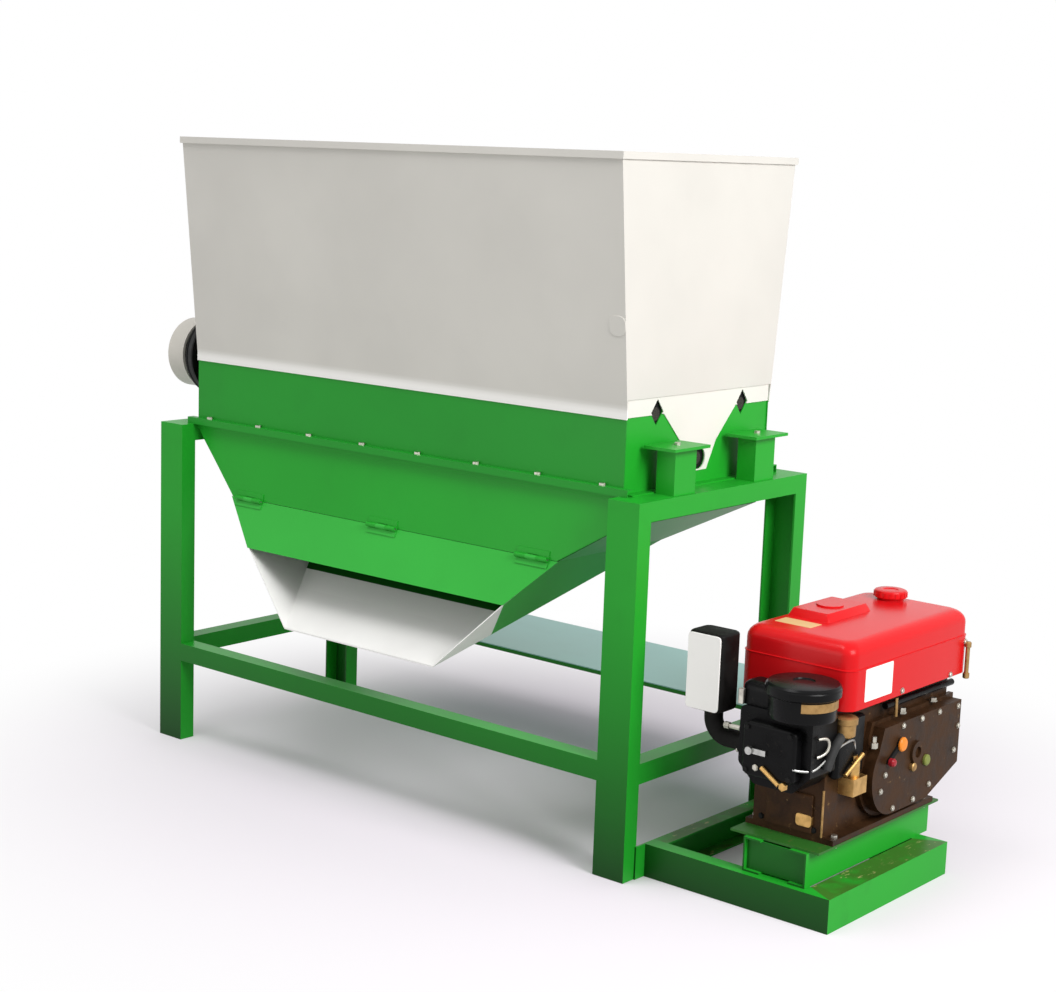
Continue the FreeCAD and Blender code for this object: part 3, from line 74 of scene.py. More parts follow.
def frame_middle():
    """The floor point under the middle of the channel frame."""
    low, _ = corner_box("leg_front_left")
    _, high = corner_box("leg_rear_right")
    return Vector(((low.x + high.x) / 2, (low.y + high.y) / 2, 0.0))


def spot(x, y, z):
    """A place given in millimetres from the floor point under the frame's middle."""
    return frame_middle() + Vector((x, y, z)) * MM


# Sizes and colours that a user would change

def length(name, words, millimetres):
    return bpy.props.FloatProperty(name=name, description=words, default=millimetres * MM,
                                   subtype="DISTANCE", unit="LENGTH")


def colour(name, words, code):
    return bpy.props.StringProperty(name=name, description=words, default=code)


class PeelerSizes(bpy.types.PropertyGroup):
    hood_corner: length("Hood corner", "Radius of the hood's upright corners", 36)
    hood_round: length("Hood rounding", "Radius that rolls the hood's top over", 34)
    hood_seam: length("Hood seam", "Height of the seam above the hood's lower edge", 104)
    hood_lip: length("Hood lip", "How far the lower half stands proud of the upper", 2)
    muffler_corner: length("Muffler corner", "Radius of the muffler's corners", 15)
    guard_thick: length("Guard thickness", "Thickness of the pale heat guard", 3)
    band_height: length("Band height", "Height of the tan clamp band", 22)
    bolt_radius: length("Bolt radius", "Radius across the corners of small bolt heads", 7)
    bolt_height: length("Bolt height", "Height of small bolt heads", 5)
    pipe_radius: length("Pipe radius", "Radius of the injector pipe", 3.5)
    rod_radius: length("Rod radius", "Radius of the brass control rods", 6)


class PeelerColours(bpy.types.PropertyGroup):
    green: colour("Green", "Enamel on the frame and the casing", "#22a22b")
    cream: colour("Cream", "Enamel on the hopper", "#dad7d0")
    white: colour("White", "Enamel on the chute", "#f7f6f3")
    # Painted reflection: this pale teal stands for white surroundings reflected in the tray's green enamel.
    tray_painted_reflection: colour("Teal", "Enamel on the tray sheet", "#9ac8c3")
    olive: colour("Olive", "Oil-stained enamel under the engine", "#2f6a26")
    red: colour("Red", "Enamel on the hood", "#d6161b")
    black: colour("Black", "Stove enamel on engine parts", "#0d0d0e")
    brown: colour("Brown", "Oiled casting of the crankcase", "#402a19")
    brass: colour("Brass", "Brass and passivated fittings", "#cfa666")
    tan: colour("Tan", "Dull tan plating on clamps and bowls", "#b08d5c")
    orange: colour("Orange", "Cap on the speed lever", "#ee8a2c")
    steel: colour("Steel", "Bright steel", "#b9b9b6")
    grit: colour("Grit", "Abrasive coat of the rollers", "#39342e")


class PeelerStage(bpy.types.PropertyGroup):
    lens: bpy.props.FloatProperty(name="Lens", description="Focal length in millimetres", default=67.53)
    yaw: bpy.props.FloatProperty(name="Yaw", description="Turn of the camera about Z",
                                 default=math.radians(39.80), subtype="ANGLE", unit="ROTATION")
    pitch: bpy.props.FloatProperty(name="Pitch", description="How far the camera looks down",
                                   default=math.radians(9.784), subtype="ANGLE", unit="ROTATION")
    roll: bpy.props.FloatProperty(name="Roll", description="Lean of the camera",
                                  default=math.radians(2.038), subtype="ANGLE", unit="ROTATION")
    eye: bpy.props.FloatVectorProperty(name="Eye", description="Camera place from the frame's middle",
                                       default=(3.8411, -4.3262, 1.8539), subtype="XYZ", unit="LENGTH")


# Materials

def linear(code):
    """An sRGB hex value as a linear colour with full alpha."""
    parts = [int(code[index:index + 2], 16) / 255 for index in (1, 3, 5)]
    return tuple(part / 12.92 if part <= 0.04045 else ((part + 0.055) / 1.055) ** 2.4 for part in parts) + (1.0,)


def shade(code, factor):
    """A linear colour made darker or lighter by a factor."""
    return tuple(min(1.0, part * factor) for part in linear(code)[:3]) + (1.0,)


def add(tree, kind, inputs=None, **settings):
    """Add a node with its settings, and link or set its inputs."""
    node = tree.nodes.new(kind)
    for name, value in settings.items():
        setattr(node, name, value)
    for key, value in (inputs or {}).items():
        if isinstance(value, bpy.types.NodeSocket):
            tree.links.new(value, node.inputs[key])
        else:
            node.inputs[key].default_value = value
    return node


def new_material(name):
    """An empty material with its shader and output."""
    material = bpy.data.materials.new(name)
    material.use_nodes = True
    tree = material.node_tree
    tree.nodes.clear()
    shader = add(tree, "ShaderNodeBsdfPrincipled")
    add(tree, "ShaderNodeOutputMaterial", {"Surface": shader.outputs["BSDF"]})
    place = add(tree, "ShaderNodeTexCoord").outputs["Object"]
    return material, tree, shader, place


def noise(tree, place, millimetres, detail=3.0, rough=0.5):
    """Noise whose features are about this many millimetres across."""
    return add(tree, "ShaderNodeTexNoise", {"Vector": place, "Scale": 1 / (millimetres * MM), "Detail": detail,
                                            "Roughness": rough}).outputs["Fac"]


def band(tree, value, low, high):
    """Stretch a value so that low becomes 0 and high becomes 1."""
    return add(tree, "ShaderNodeMapRange", {"Value": value, "From Min": low, "From Max": high},
               clamp=True).outputs["Result"]


def blend_colour(tree, factor, first, second):
    node = add(tree, "ShaderNodeMix", data_type="RGBA")
    for socket, value in ((node.inputs[0], factor), (node.inputs[6], first), (node.inputs[7], second)):
        if isinstance(value, bpy.types.NodeSocket):
            tree.links.new(value, socket)
        else:
            socket.default_value = value
    return node.outputs[2]


def stack_bumps(tree, shader, layers):
    """Chain bumps of different grain into the shader's normal: (height, distance in mm)."""
    normal = None
    for height, millimetres in layers:
        inputs = {"Height": height, "Distance": millimetres * MM, "Strength": 1.0}
        if normal is not None:
            inputs["Normal"] = normal
        normal = add(tree, "ShaderNodeBump", inputs).outputs["Normal"]
    tree.links.new(normal, shader.inputs["Normal"])


def facing(tree, place, axis, low, high):
    """Mask of the faces that look along an axis: 0 at low, 1 at high."""
    split = add(tree, "ShaderNodeSeparateXYZ", {"Vector": place.node.outputs["Normal"]})
    return band(tree, split.outputs[axis], low, high)


def both(tree, first, second):
    """Where two masks hold together."""
    return add(tree, "ShaderNodeMath", {0: first, 1: second}, operation="MULTIPLY").outputs[0]


def paint_zones(tree, place, code, tone, chip, foot_shade, inside_white_and_shade, hem, worn_top):
    """Paint that differs by place: worn tops, painted shade on front faces near the floor, white insides with
    painted shade above the white, and a painted highlight on the hem.
    """
    height = add(tree, "ShaderNodeSeparateXYZ", {"Vector": place}).outputs["Z"]
    upward = facing(tree, place, "Z", 0.5, 0.9)
    if worn_top:
        worn = band(tree, noise(tree, place, 90, 4.0), 0.25, 0.50)
        tone = blend_colour(tree, both(tree, upward, worn), tone, linear(worn_top))
    if chip:
        along = add(tree, "ShaderNodeMapping", {"Vector": place, "Scale": (1.0, 0.4, 1.0)}).outputs["Vector"]
        spots = band(tree, noise(tree, along, 20, 6.0, 0.7), 0.60, 0.66)
        tone = blend_colour(tree, both(tree, upward, spots), tone, linear(chip))
    # Painted shade: faces that look to the front darken towards the floor.
    if foot_shade:
        foot_shade_rise = band(tree, height, FOOT_SHADE_TOP, 0.0)
        share = add(tree, "ShaderNodeMath", {0: foot_shade_rise, 1: foot_shade}, operation="MULTIPLY").outputs[0]
        tone = blend_colour(tree, both(tree, share, facing(tree, place, "Y", -0.3, -0.9)), tone, shade(code, 0.08))
    if inside_white_and_shade:
        paint, top = inside_white_and_shade
        inside = facing(tree, place, "Z", 0.05, 0.15)
        # Painted shade: the inside faces are darkened, then painted white below the given height.
        tone = blend_colour(tree, inside, tone, shade(code, 0.25))
        level = band(tree, height, top + 1 * MM, top)
        tone = blend_colour(tree, both(tree, level, inside), tone, linear(paint))
    # Painted highlight: a near-white band over the hem, fading out just above its top.
    if hem:
        paint, top = hem
        tone = blend_colour(tree, band(tree, height, top + 12 * MM, top - 12 * MM), tone, linear(paint))
    return tone


def enamel(name, code, rough=0.34, dirt=0.25, dent=0.0, chip=None, foot_shade=0.0, inside_white_and_shade=None, gloss=0.20, hem=None,
           worn_top=None):
    """Sprayed enamel on steel: slight orange peel, uneven film, dust, and chips where it is knocked; where asked,
    painted shade on front faces and insides and a painted highlight on a hem.
    """
    material, tree, shader, place = new_material(name)
    film = noise(tree, place, 420, 3.0)
    tone = blend_colour(tree, band(tree, film, 0.35, 0.65), shade(code, 0.96), shade(code, 1.03))
    grime = band(tree, noise(tree, place, 130, 5.0, 0.6), 0.56, 0.85)
    share = add(tree, "ShaderNodeMath", {0: grime, 1: dirt}, operation="MULTIPLY").outputs[0]
    tone = blend_colour(tree, share, tone, shade(code, 0.62))
    tone = paint_zones(tree, place, code, tone, chip, foot_shade, inside_white_and_shade, hem, worn_top)
    tree.links.new(tone, shader.inputs["Base Color"])
    matt = add(tree, "ShaderNodeMapRange", {"Value": film, "To Min": rough - 0.05, "To Max": rough + 0.08})
    tree.links.new(matt.outputs["Result"], shader.inputs["Roughness"])
    shader.inputs["Specular IOR Level"].default_value = gloss
    layers = [(noise(tree, place, 3.5, 2.0), 0.03)]
    if dent:
        layers.append((noise(tree, place, 520, 0.0), dent))
    stack_bumps(tree, shader, layers)
    return material


def casting(name, code, worn, rough=0.5):
    """Painted or oiled sand casting: pebbled skin, oil-dark hollows and rubbed high spots."""
    material, tree, shader, place = new_material(name)
    skin = noise(tree, place, 4, 4.0, 0.6)
    oil = band(tree, noise(tree, place, 60, 5.0, 0.6), 0.42, 0.68)
    tone = blend_colour(tree, oil, linear(code), shade(code, 0.45))
    rubbed = band(tree, noise(tree, place, 22, 6.0, 0.7), 0.64, 0.72)
    tone = blend_colour(tree, rubbed, tone, linear(worn))
    tree.links.new(tone, shader.inputs["Base Color"])
    shader.inputs["Specular IOR Level"].default_value = 0.10
    wet = add(tree, "ShaderNodeMapRange", {"Value": oil, "To Min": rough, "To Max": rough - 0.2})
    tree.links.new(wet.outputs["Result"], shader.inputs["Roughness"])
    stack_bumps(tree, shader, [(skin, 0.4), (noise(tree, place, 30, 2.0), 0.8)])
    return material


def metal(name, code, rough=0.3, streak=0.0):
    """Bare or plated metal: turned or brushed marks along one way and slight tarnish."""
    material, tree, shader, place = new_material(name)
    tarnish = band(tree, noise(tree, place, 18, 5.0), 0.4, 0.7)
    tree.links.new(blend_colour(tree, tarnish, linear(code), shade(code, 0.7)), shader.inputs["Base Color"])
    shader.inputs["Metallic"].default_value = 1.0
    wear = add(tree, "ShaderNodeMapRange", {"Value": tarnish, "To Min": rough, "To Max": rough + 0.2})
    tree.links.new(wear.outputs["Result"], shader.inputs["Roughness"])
    stretched = add(tree, "ShaderNodeMapping", {"Vector": place, "Scale": (1.0, 1.0 + streak, 1.0)})
    stack_bumps(tree, shader, [(noise(tree, stretched.outputs["Vector"], 2.5), 0.05)])
    return material


def abrasive(name, code):
    """Bonded grit on steel: 4 mm grains with pale tips, drawn coarse enough to show."""
    material, tree, shader, place = new_material(name)
    grains = add(tree, "ShaderNodeTexVoronoi", {"Vector": place, "Scale": 1 / (4 * MM)}).outputs["Distance"]
    tone = blend_colour(tree, band(tree, grains, 0.15, 0.55), shade(code, 1.3), shade(code, 0.5))
    tree.links.new(tone, shader.inputs["Base Color"])
    shader.inputs["Roughness"].default_value = 0.85
    stack_bumps(tree, shader, [(grains, 1.5)])
    return material


def rubber(name, code):
    """Ply rubber belting: matt, finely ribbed, dusted grey."""
    material, tree, shader, place = new_material(name)
    dust = band(tree, noise(tree, place, 40, 5.0), 0.45, 0.75)
    tree.links.new(blend_colour(tree, dust, linear(code), shade(code, 3.0)), shader.inputs["Base Color"])
    shader.inputs["Roughness"].default_value = 0.75
    stack_bumps(tree, shader, [(noise(tree, place, 3, 4.0), 0.2)])
    return material


def make_finishes(colours):
    """Every finish of the machine by name."""
    return {
        # Painted shade: the channel frame darkens on its front faces near the floor.
        "frame_green": enamel("green_enamel_on_channel_painted_foot_shade", colours.green, 0.36, 0.30, foot_shade=0.92),
        # The slide and the funnel ends are white inside low down, with painted shade inside above the white.
        "slide_green": enamel("green_enamel_white_low_inside_painted_shade_above", colours.green, 0.36, 0.20, 2.0,
                              inside_white_and_shade=(colours.white, SLIDE_WHITE_TO)),
        "end_green": enamel("green_enamel_white_inside_painted_shade_above", colours.green, 0.36, 0.20, 2.0,
                            inside_white_and_shade=(colours.white, ENDS_WHITE_TO)),
        # Painted shade: the casing walls take a darker copy of the frame's green.
        "casing_green": enamel("green_enamel_on_casing_painted_shade", "#20962b", 0.33, 0.18, 2.0),
        "funnel_green": enamel("green_enamel_on_funnel", colours.green, 0.33, 0.18, 2.0),
        # Painted light: the flap and its hinge leaves take a lighter copy of the frame's green.
        "flap_green": enamel("green_enamel_on_flap_painted_light", "#36b33f", 0.33, 0.18, 2.0),
        # Painted shade: the worn cross rails also darken on their front faces near the floor.
        "worn_green": enamel("worn_green_enamel_painted_foot_shade", colours.green, 0.42, 0.60, chip="#a9a66c", foot_shade=0.92,
                             worn_top="#3f6f24"),
        "hopper_cream": enamel("cream_enamel_on_sheet", colours.cream, 0.40, 0.06, 2.5),
        # Painted highlight: the hem of the hopper's front and rear is lightened to near white.
        "hopper_hemmed": enamel("cream_enamel_painted_hem_highlight", colours.cream, 0.40, 0.06, 2.5,
                                hem=("#f8f6f2", HEM_TOP)),
        "apron_pale": enamel("pale_enamel_on_apron", "#e9e6df", 0.38, 0.06),
        "chute_white": enamel("white_enamel_scuffed", colours.white, 0.42, 0.10, 2.0),
        # Painted reflection: the tray sheet takes a pale teal in place of its green enamel.
        "tray_teal": enamel("green_enamel_painted_reflection_on_sheet", colours.tray_painted_reflection, 0.30, 0.18, 2.0),
        "plate_olive": enamel("oily_enamel_on_plate", colours.olive, 0.40, 0.80, chip="#5f6a34"),
        "drum_white": enamel("pale_enamel_on_drum", "#d9d5cc", 0.38, 0.35),
        "hood_red": enamel("red_enamel_pressed_hood", colours.red, 0.24, 0.10, 1.0, gloss=0.16),
        "filter_black": enamel("black_enamel_air_cleaner", colours.black, 0.26, 0.30, gloss=0.12),
        "guard_pale": enamel("pale_enamel_guard", "#faf8f4", 0.40, 0.10),
        "plate_tan": enamel("tan_bare_plate", "#e0b780", 0.40, 0.20),
        "engine_black": casting("black_painted_casting", colours.black, "#3a3530", 0.40),
        "engine_iron": casting("oiled_brown_casting", colours.brown, "#7d623f", 0.50),
        "wheel_black": casting("black_painted_wheel", "#191919", "#4d4a46", 0.44),
        "muffler_black": casting("heat_dulled_black", "#161514", "#3f332a", 0.66),
        "roller_grit": abrasive("bonded_grit_coat", colours.grit),
        "belt_rubber": rubber("ply_rubber_belt", "#1b1b1b"),
        "bright_steel": metal("turned_bright_steel", colours.steel, 0.28, 6.0),
        "zinc_bolt": metal("zinc_plated_steel", "#c9c5ba", 0.34),
        "pump_brass": metal("passivated_brass", colours.brass, 0.34),
        "dull_tan": metal("dull_tan_plating", colours.tan, 0.46),
        "lever_red": enamel("red_dipped_knob", "#9c1f2a", 0.30, 0.20),
        "cap_orange": enamel("orange_moulded_cap", colours.orange, 0.32, 0.20),
        "moss_green": enamel("olive_moulded_plug", "#7c8440", 0.40, 0.30),
    }


finishes = {}

NODE_FINISH = {"casing_front": "casing_green", "casing_rear": "casing_green",
               "casing_end_left": "funnel_green", "casing_end_right": "funnel_green",
               "funnel_front": "funnel_green", "hopper_aprons": "apron_pale", "funnel_slide": "slide_green",
               "funnel_end_left": "end_green", "funnel_end_right": "end_green",
               "hopper_front": "hopper_hemmed", "hopper_rear": "hopper_hemmed",
               "access_flap": "flap_green", "hinge_leaves_moving": "flap_green", "fuel_cap": "hood_red", "roller_bearings": "engine_black",
               "base_cross_rails": "worn_green"}


# Modelling helpers

def deselect():
    if bpy.context.mode != "OBJECT":
        bpy.ops.object.mode_set(mode="OBJECT")
    bpy.ops.object.select_all(action="DESELECT")


def apply_place(piece):
    """Put the object's place into its mesh."""
    deselect()
    piece.select_set(True)
    bpy.context.view_layer.objects.active = piece
    bpy.ops.object.transform_apply(location=True, rotation=True, scale=True)


def apply_modifier(piece, kind, **settings):
    """Add a modifier with its settings and apply it."""
    deselect()
    piece.select_set(True)
    bpy.context.view_layer.objects.active = piece
    modifier = piece.modifiers.new(kind.title(), kind)
    for name, value in settings.items():
        setattr(modifier, name, value)
    bpy.ops.object.modifier_apply(modifier=modifier.name)


def soften(piece, width, segments=2):
    apply_modifier(piece, "BEVEL", width=width, segments=segments, limit_method="ANGLE",
                   angle_limit=math.radians(35))


def close_up(piece):
    """Merge doubles and turn every face outwards."""
    deselect()
    piece.select_set(True)
    bpy.context.view_layer.objects.active = piece
    bpy.ops.object.mode_set(mode="EDIT")
    bpy.ops.mesh.select_all(action="SELECT")
    bpy.ops.mesh.remove_doubles(threshold=0.00001)
    bpy.ops.mesh.normals_make_consistent(inside=False)
    bpy.ops.object.mode_set(mode="OBJECT")


def finish_piece(piece, name, finish, body=MAIN_BODY, replaced=()):
    """Name a finished piece, give it its material and tie it to its body."""
    piece.name = name
    piece.data.name = name
    close_up(piece)
    bpy.ops.object.shade_smooth_by_angle(angle=math.radians(32))
    piece.data.materials.clear()
    piece.data.materials.append(finishes[finish])
    if replaced:
        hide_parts(*replaced)
    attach(piece, body)
    return piece


def block(low, high):
    """A box between two corners, as a start for a piece."""
    deselect()
    low, high = Vector(low), Vector(high)
    bpy.ops.mesh.primitive_cube_add(size=1.0, location=(low + high) / 2)
    piece = bpy.context.active_object
    piece.scale = high - low
    apply_place(piece)
    return piece


AXIS_TURN = {"x": (0.0, math.radians(90), 0.0), "y": (math.radians(90), 0.0, 0.0), "z": (0.0, 0.0, 0.0)}


def turned(centre, axis, rings, sides=48):
    """A turned piece: rings of (radius, height) along an axis from its centre."""
    deselect()
    radius, height = rings[0]
    bpy.ops.mesh.primitive_circle_add(vertices=sides, radius=radius, fill_type="NGON", location=(0, 0, height))
    piece = bpy.context.active_object
    bpy.ops.object.mode_set(mode="EDIT")
    bpy.ops.mesh.select_all(action="SELECT")
    for following, level in rings[1:]:
        bpy.ops.mesh.extrude_region_move(TRANSFORM_OT_translate={"value": (0, 0, level - height)})
        grow = following / radius
        bpy.ops.transform.resize(value=(grow, grow, 1.0), center_override=(0.0, 0.0, level))
        radius, height = following, level
    bpy.ops.object.mode_set(mode="OBJECT")
    apply_place(piece)
    piece.rotation_euler = AXIS_TURN[axis]
    piece.location = centre
    apply_place(piece)
    return piece


def rounded_stack(low, high, corner, levels, segments=6):
    """A pressed form: a rounded rectangle raised through levels of (height, inset from its outline)."""
    deselect()
    middle = (Vector(low) + Vector(high)) / 2
    size = Vector(high) - Vector(low)
    height, inset = levels[0]
    bpy.ops.mesh.primitive_plane_add(size=1.0, location=(middle.x, middle.y, height))
    piece = bpy.context.active_object
    piece.scale = (size.x - 2 * inset, size.y - 2 * inset, 1.0)
    apply_place(piece)
    bpy.ops.object.mode_set(mode="EDIT")
    bpy.ops.mesh.select_all(action="SELECT")
    bpy.ops.mesh.bevel(offset=corner, segments=segments, affect="VERTICES")
    bpy.ops.mesh.select_all(action="SELECT")
    for level, following in levels[1:]:
        bpy.ops.mesh.extrude_region_move(TRANSFORM_OT_translate={"value": (0, 0, level - height)})
        grow = ((size.x - 2 * following) / (size.x - 2 * inset), (size.y - 2 * following) / (size.y - 2 * inset), 1)
        bpy.ops.transform.resize(value=grow, center_override=(middle.x, middle.y, level))
        height, inset = level, following
    bpy.ops.object.mode_set(mode="OBJECT")
    return piece


PLATE_TURN = {"x": (math.radians(90), 0.0, math.radians(90)), "y": (math.radians(90), 0.0, 0.0),
              "z": (0.0, 0.0, 0.0)}


def pressed_plate(centre, axis, wide, tall, thick, corner):
    """A plate with round corners and an eased face, standing out from its centre towards +X, -Y or +Z."""
    ease = min(0.6 * MM, thick / 3)
    half = Vector((wide / 2, tall / 2, 0.0))
    piece = rounded_stack(-half, half, corner, [(0.0, 0.0), (thick - ease, 0.0), (thick, ease)], 5)
    piece.rotation_euler = PLATE_TURN[axis]
    piece.location = centre
    apply_place(piece)
    return piece


def rolled_top(high, inset, radius, steps=6):
    """Levels that roll a pressed form over at its top."""
    turns = [math.radians(90 * step / steps) for step in range(1, steps + 1)]
    return [(high - radius + radius * math.sin(turn), inset + radius * (1 - math.cos(turn))) for turn in turns]


def joined(pieces):
    """Several meshes as one."""
    deselect()
    for piece in pieces:
        piece.select_set(True)
    bpy.context.view_layer.objects.active = pieces[0]
    bpy.ops.object.join()
    return bpy.context.active_object


def bolt_head(centre, axis, radius, height):
    """A hexagon head with a washer under it; a negative height points it the other way."""
    washer = height * 0.3
    rings = [(radius * 1.25, 0.0), (radius * 1.25, washer), (radius, washer), (radius, height * 0.85),
             (radius * 0.85, height)]
    return turned(centre, axis, rings, 6)


def tube(points, radius, smooth=True):
    """A rigid pipe along given points, as a mesh."""
    deselect()
    curve = bpy.data.curves.new("pipe", "CURVE")
    curve.dimensions = "3D"
    curve.bevel_depth = radius
    curve.bevel_resolution = 4
    curve.use_fill_caps = True
    spline = curve.splines.new("NURBS" if smooth else "POLY")
    spline.points.add(len(points) - 1)
    for point, place in zip(spline.points, points):
        point.co = (*place, 1.0)
    if smooth:
        spline.order_u = 3
        spline.use_endpoint_u = True
    holder = bpy.data.objects.new("pipe", curve)
    bpy.context.scene.collection.objects.link(holder)
    holder.select_set(True)
    bpy.context.view_layer.objects.active = holder
    bpy.ops.object.convert(target="MESH")
    return bpy.context.active_object


# One operator for each piece or group of like pieces

class PEELER_OT_finishes(bpy.types.Operator):
    """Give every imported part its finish"""
    bl_idname = "peeler.finishes"
    bl_label = "Finishes"

    def execute(self, context):
        finishes.update(make_finishes(context.scene.peeler_colours))
        slots = {row["node"]: row["material_slot"] for row in frame["record"]["subparts"]}
        for node, part in frame["nodes"].items():
            finish = NODE_FINISH.get(node, slots[node])
            part.data.materials.clear()
            part.data.materials.append(finishes.get(finish, finishes["frame_green"]))
        return {"FINISHED"}


class PEELER_OT_corner_patch(bpy.types.Operator):
    """Add the small round patch at the hopper's front right corner"""
    bl_idname = "peeler.corner_patch"
    bl_label = "Corner patch"

    def execute(self, context):
        low, high = corner_box("hopper_front")
        lean = (high.y - low.y - 3 * MM) / (high.z - HEM_TOP)
        wide, level = 52 * MM, 1435 * MM
        patch = pressed_plate((0.0, 0.0, 0.0), "y", wide, wide, 1.6 * MM, 20 * MM)
        patch.rotation_euler = (math.atan(lean), 0.0, 0.0)
        patch.location = (high.x - wide / 2, low.y + lean * (high.z - level), level)
        apply_place(patch)
        finish_piece(patch, "corner_patch", "hopper_cream")
        return {"FINISHED"}


class PEELER_OT_hood(bpy.types.Operator):
    """Model the pressed hood with its seam, its rolled top and its hatch"""
    bl_idname = "peeler.hood"
    bl_label = "Hood"

    def execute(self, context):
        sizes = context.scene.peeler_sizes
        low, high = corner_box("fuel_hood")
        seam = low.z + sizes.hood_seam
        lip = sizes.hood_lip
        radius = sizes.hood_round
        levels = [(low.z, 1 * MM), (low.z + 1 * MM, 0.0), (seam - 3 * MM, 0.0), (seam - 2 * MM, -1 * MM),
                  (seam, -1 * MM), (seam + 1 * MM, lip), (high.z - radius, lip)]
        hood = rounded_stack(low, high, sizes.hood_corner, levels + rolled_top(high.z, lip, radius), 8)
        finish_piece(hood, "pressed_hood", "hood_red", replaced=("fuel_hood",))
        low, high = corner_box("hood_hatch")
        top = low.z + 20 * MM
        lid = rounded_stack(low, high, 6 * MM, [(low.z, 0.0), (top - 1 * MM, 9 * MM), (top, 10 * MM)], 4)
        middle = (low + high) / 2
        boss = turned((middle.x, middle.y, top), "z", [(36 * MM, 0.0), (36 * MM, 3 * MM), (35 * MM, 4 * MM)])
        finish_piece(joined([lid, boss]), "sloping_hatch", "hood_red", replaced=("hood_hatch",))
        return {"FINISHED"}


class PEELER_OT_hood_fittings(bpy.types.Operator):
    """Add the bare plates, the nuts and the sight tube of the hood"""
    bl_idname = "peeler.hood_fittings"
    bl_label = "Hood fittings"

    def execute(self, context):
        sizes = context.scene.peeler_sizes
        _, high = corner_box("fuel_hood")
        side = pressed_plate(spot(1450, -60, 586), "x", 134 * MM, 84 * MM, 0.8 * MM, 4 * MM)
        finish_piece(side, "bare_side_plate", "guard_pale")
        top = pressed_plate(spot(1222, -88, high.z / MM), "z", 108 * MM, 56 * MM, 0.8 * MM, 3 * MM)
        finish_piece(top, "bare_top_plate", "plate_tan")
        nuts = [bolt_head(spot(1450, y, z), "x", sizes.bolt_radius, sizes.bolt_height)
                for y, z in ((60, 540), (314, 536), (386, 614))]
        finish_piece(joined(nuts), "hood_nuts", "zinc_bolt")
        glass = turned(spot(1458, 390, 514), "z", [(7 * MM, 0.0), (9 * MM, 2 * MM), (9 * MM, 14 * MM),
                                                   (6 * MM, 16 * MM), (6 * MM, 84 * MM), (9 * MM, 86 * MM),
                                                   (9 * MM, 98 * MM), (7 * MM, 100 * MM)], 24)
        finish_piece(glass, "fuel_sight_tube", "dull_tan")
        return {"FINISHED"}


class PEELER_OT_fuel_cap(bpy.types.Operator):
    """Model the fuel cap with its neck and gripped edge"""
    bl_idname = "peeler.fuel_cap"
    bl_label = "Fuel cap"

    def execute(self, context):
        low, high = corner_box("fuel_cap")
        middle = (low + high) / 2
        radius = (high.x - low.x) / 2 - 1.5 * MM
        tall = high.z - low.z
        rings = [(36 * MM, 0.0), (36 * MM, 6 * MM), (radius - 2 * MM, 6 * MM), (radius, 8 * MM),
                 (radius, tall - 4 * MM), (radius - 1.5 * MM, tall - 1.5 * MM), (radius - 5 * MM, tall),
                 (radius * 0.5, tall), (radius * 0.44, tall - 2 * MM)]
        pieces = [turned((middle.x, middle.y, low.z), "z", rings, 48)]
        for index in range(18):
            angle = 2 * math.pi * index / 18
            grip = block((-1.5 * MM, -3 * MM, 8 * MM), (1.5 * MM, 3 * MM, tall - 5 * MM))
            grip.rotation_euler = (0.0, 0.0, angle)
            grip.location = (middle.x + radius * math.cos(angle), middle.y + radius * math.sin(angle), low.z)
            apply_place(grip)
            pieces.append(grip)
        finish_piece(joined(pieces), "gripped_fuel_cap", "hood_red", "cap", ("fuel_cap",))
        return {"FINISHED"}


class PEELER_OT_air_cleaner(bpy.types.Operator):
    """Model the round air cleaner and its clamp band"""
    bl_idname = "peeler.air_cleaner"
    bl_label = "Air cleaner"

    def execute(self, context):
        sizes = context.scene.peeler_sizes
        low, high = corner_box("air_cleaner")
        middle = (low + high) / 2
        lid = (high.x - low.x) / 2
        body = lid - 10 * MM
        tall = high.z - low.z
        rings = [(body - 8 * MM, 0.0), (body - 2 * MM, 2 * MM), (body, 7 * MM), (body, tall - 36 * MM),
                 (lid - 3 * MM, tall - 33 * MM), (lid, tall - 30 * MM), (lid, tall - 14 * MM),
                 (lid - 2 * MM, tall - 11 * MM), (lid - 2 * MM, tall - 8 * MM), (lid - 7 * MM, tall - 3 * MM),
                 (lid - 16 * MM, tall - 1 * MM), (lid * 0.3, tall), (lid * 0.28, tall - 3 * MM)]
        case = turned((middle.x, middle.y, low.z), "z", rings, 64)
        finish_piece(case, "round_air_cleaner", "filter_black", replaced=("air_cleaner",))
        base = tall - 38 * MM - sizes.band_height
        strap = [(body - 1 * MM, base), (body + 2 * MM, base), (body + 2 * MM, base + sizes.band_height),
                 (body - 1 * MM, base + sizes.band_height)]
        clamp = turned((middle.x, middle.y, low.z), "z", strap, 64)
        cutter = block((middle.x - 120 * MM, middle.y - 120 * MM, low.z - 10 * MM),
                       (middle.x + 42 * MM, middle.y + 120 * MM, high.z + 10 * MM))
        apply_modifier(clamp, "BOOLEAN", operation="DIFFERENCE", solver="EXACT", object=cutter)
        deselect()
        cutter.select_set(True)
        bpy.ops.object.delete()
        finish_piece(clamp, "tan_clamp_band", "dull_tan")
        return {"FINISHED"}


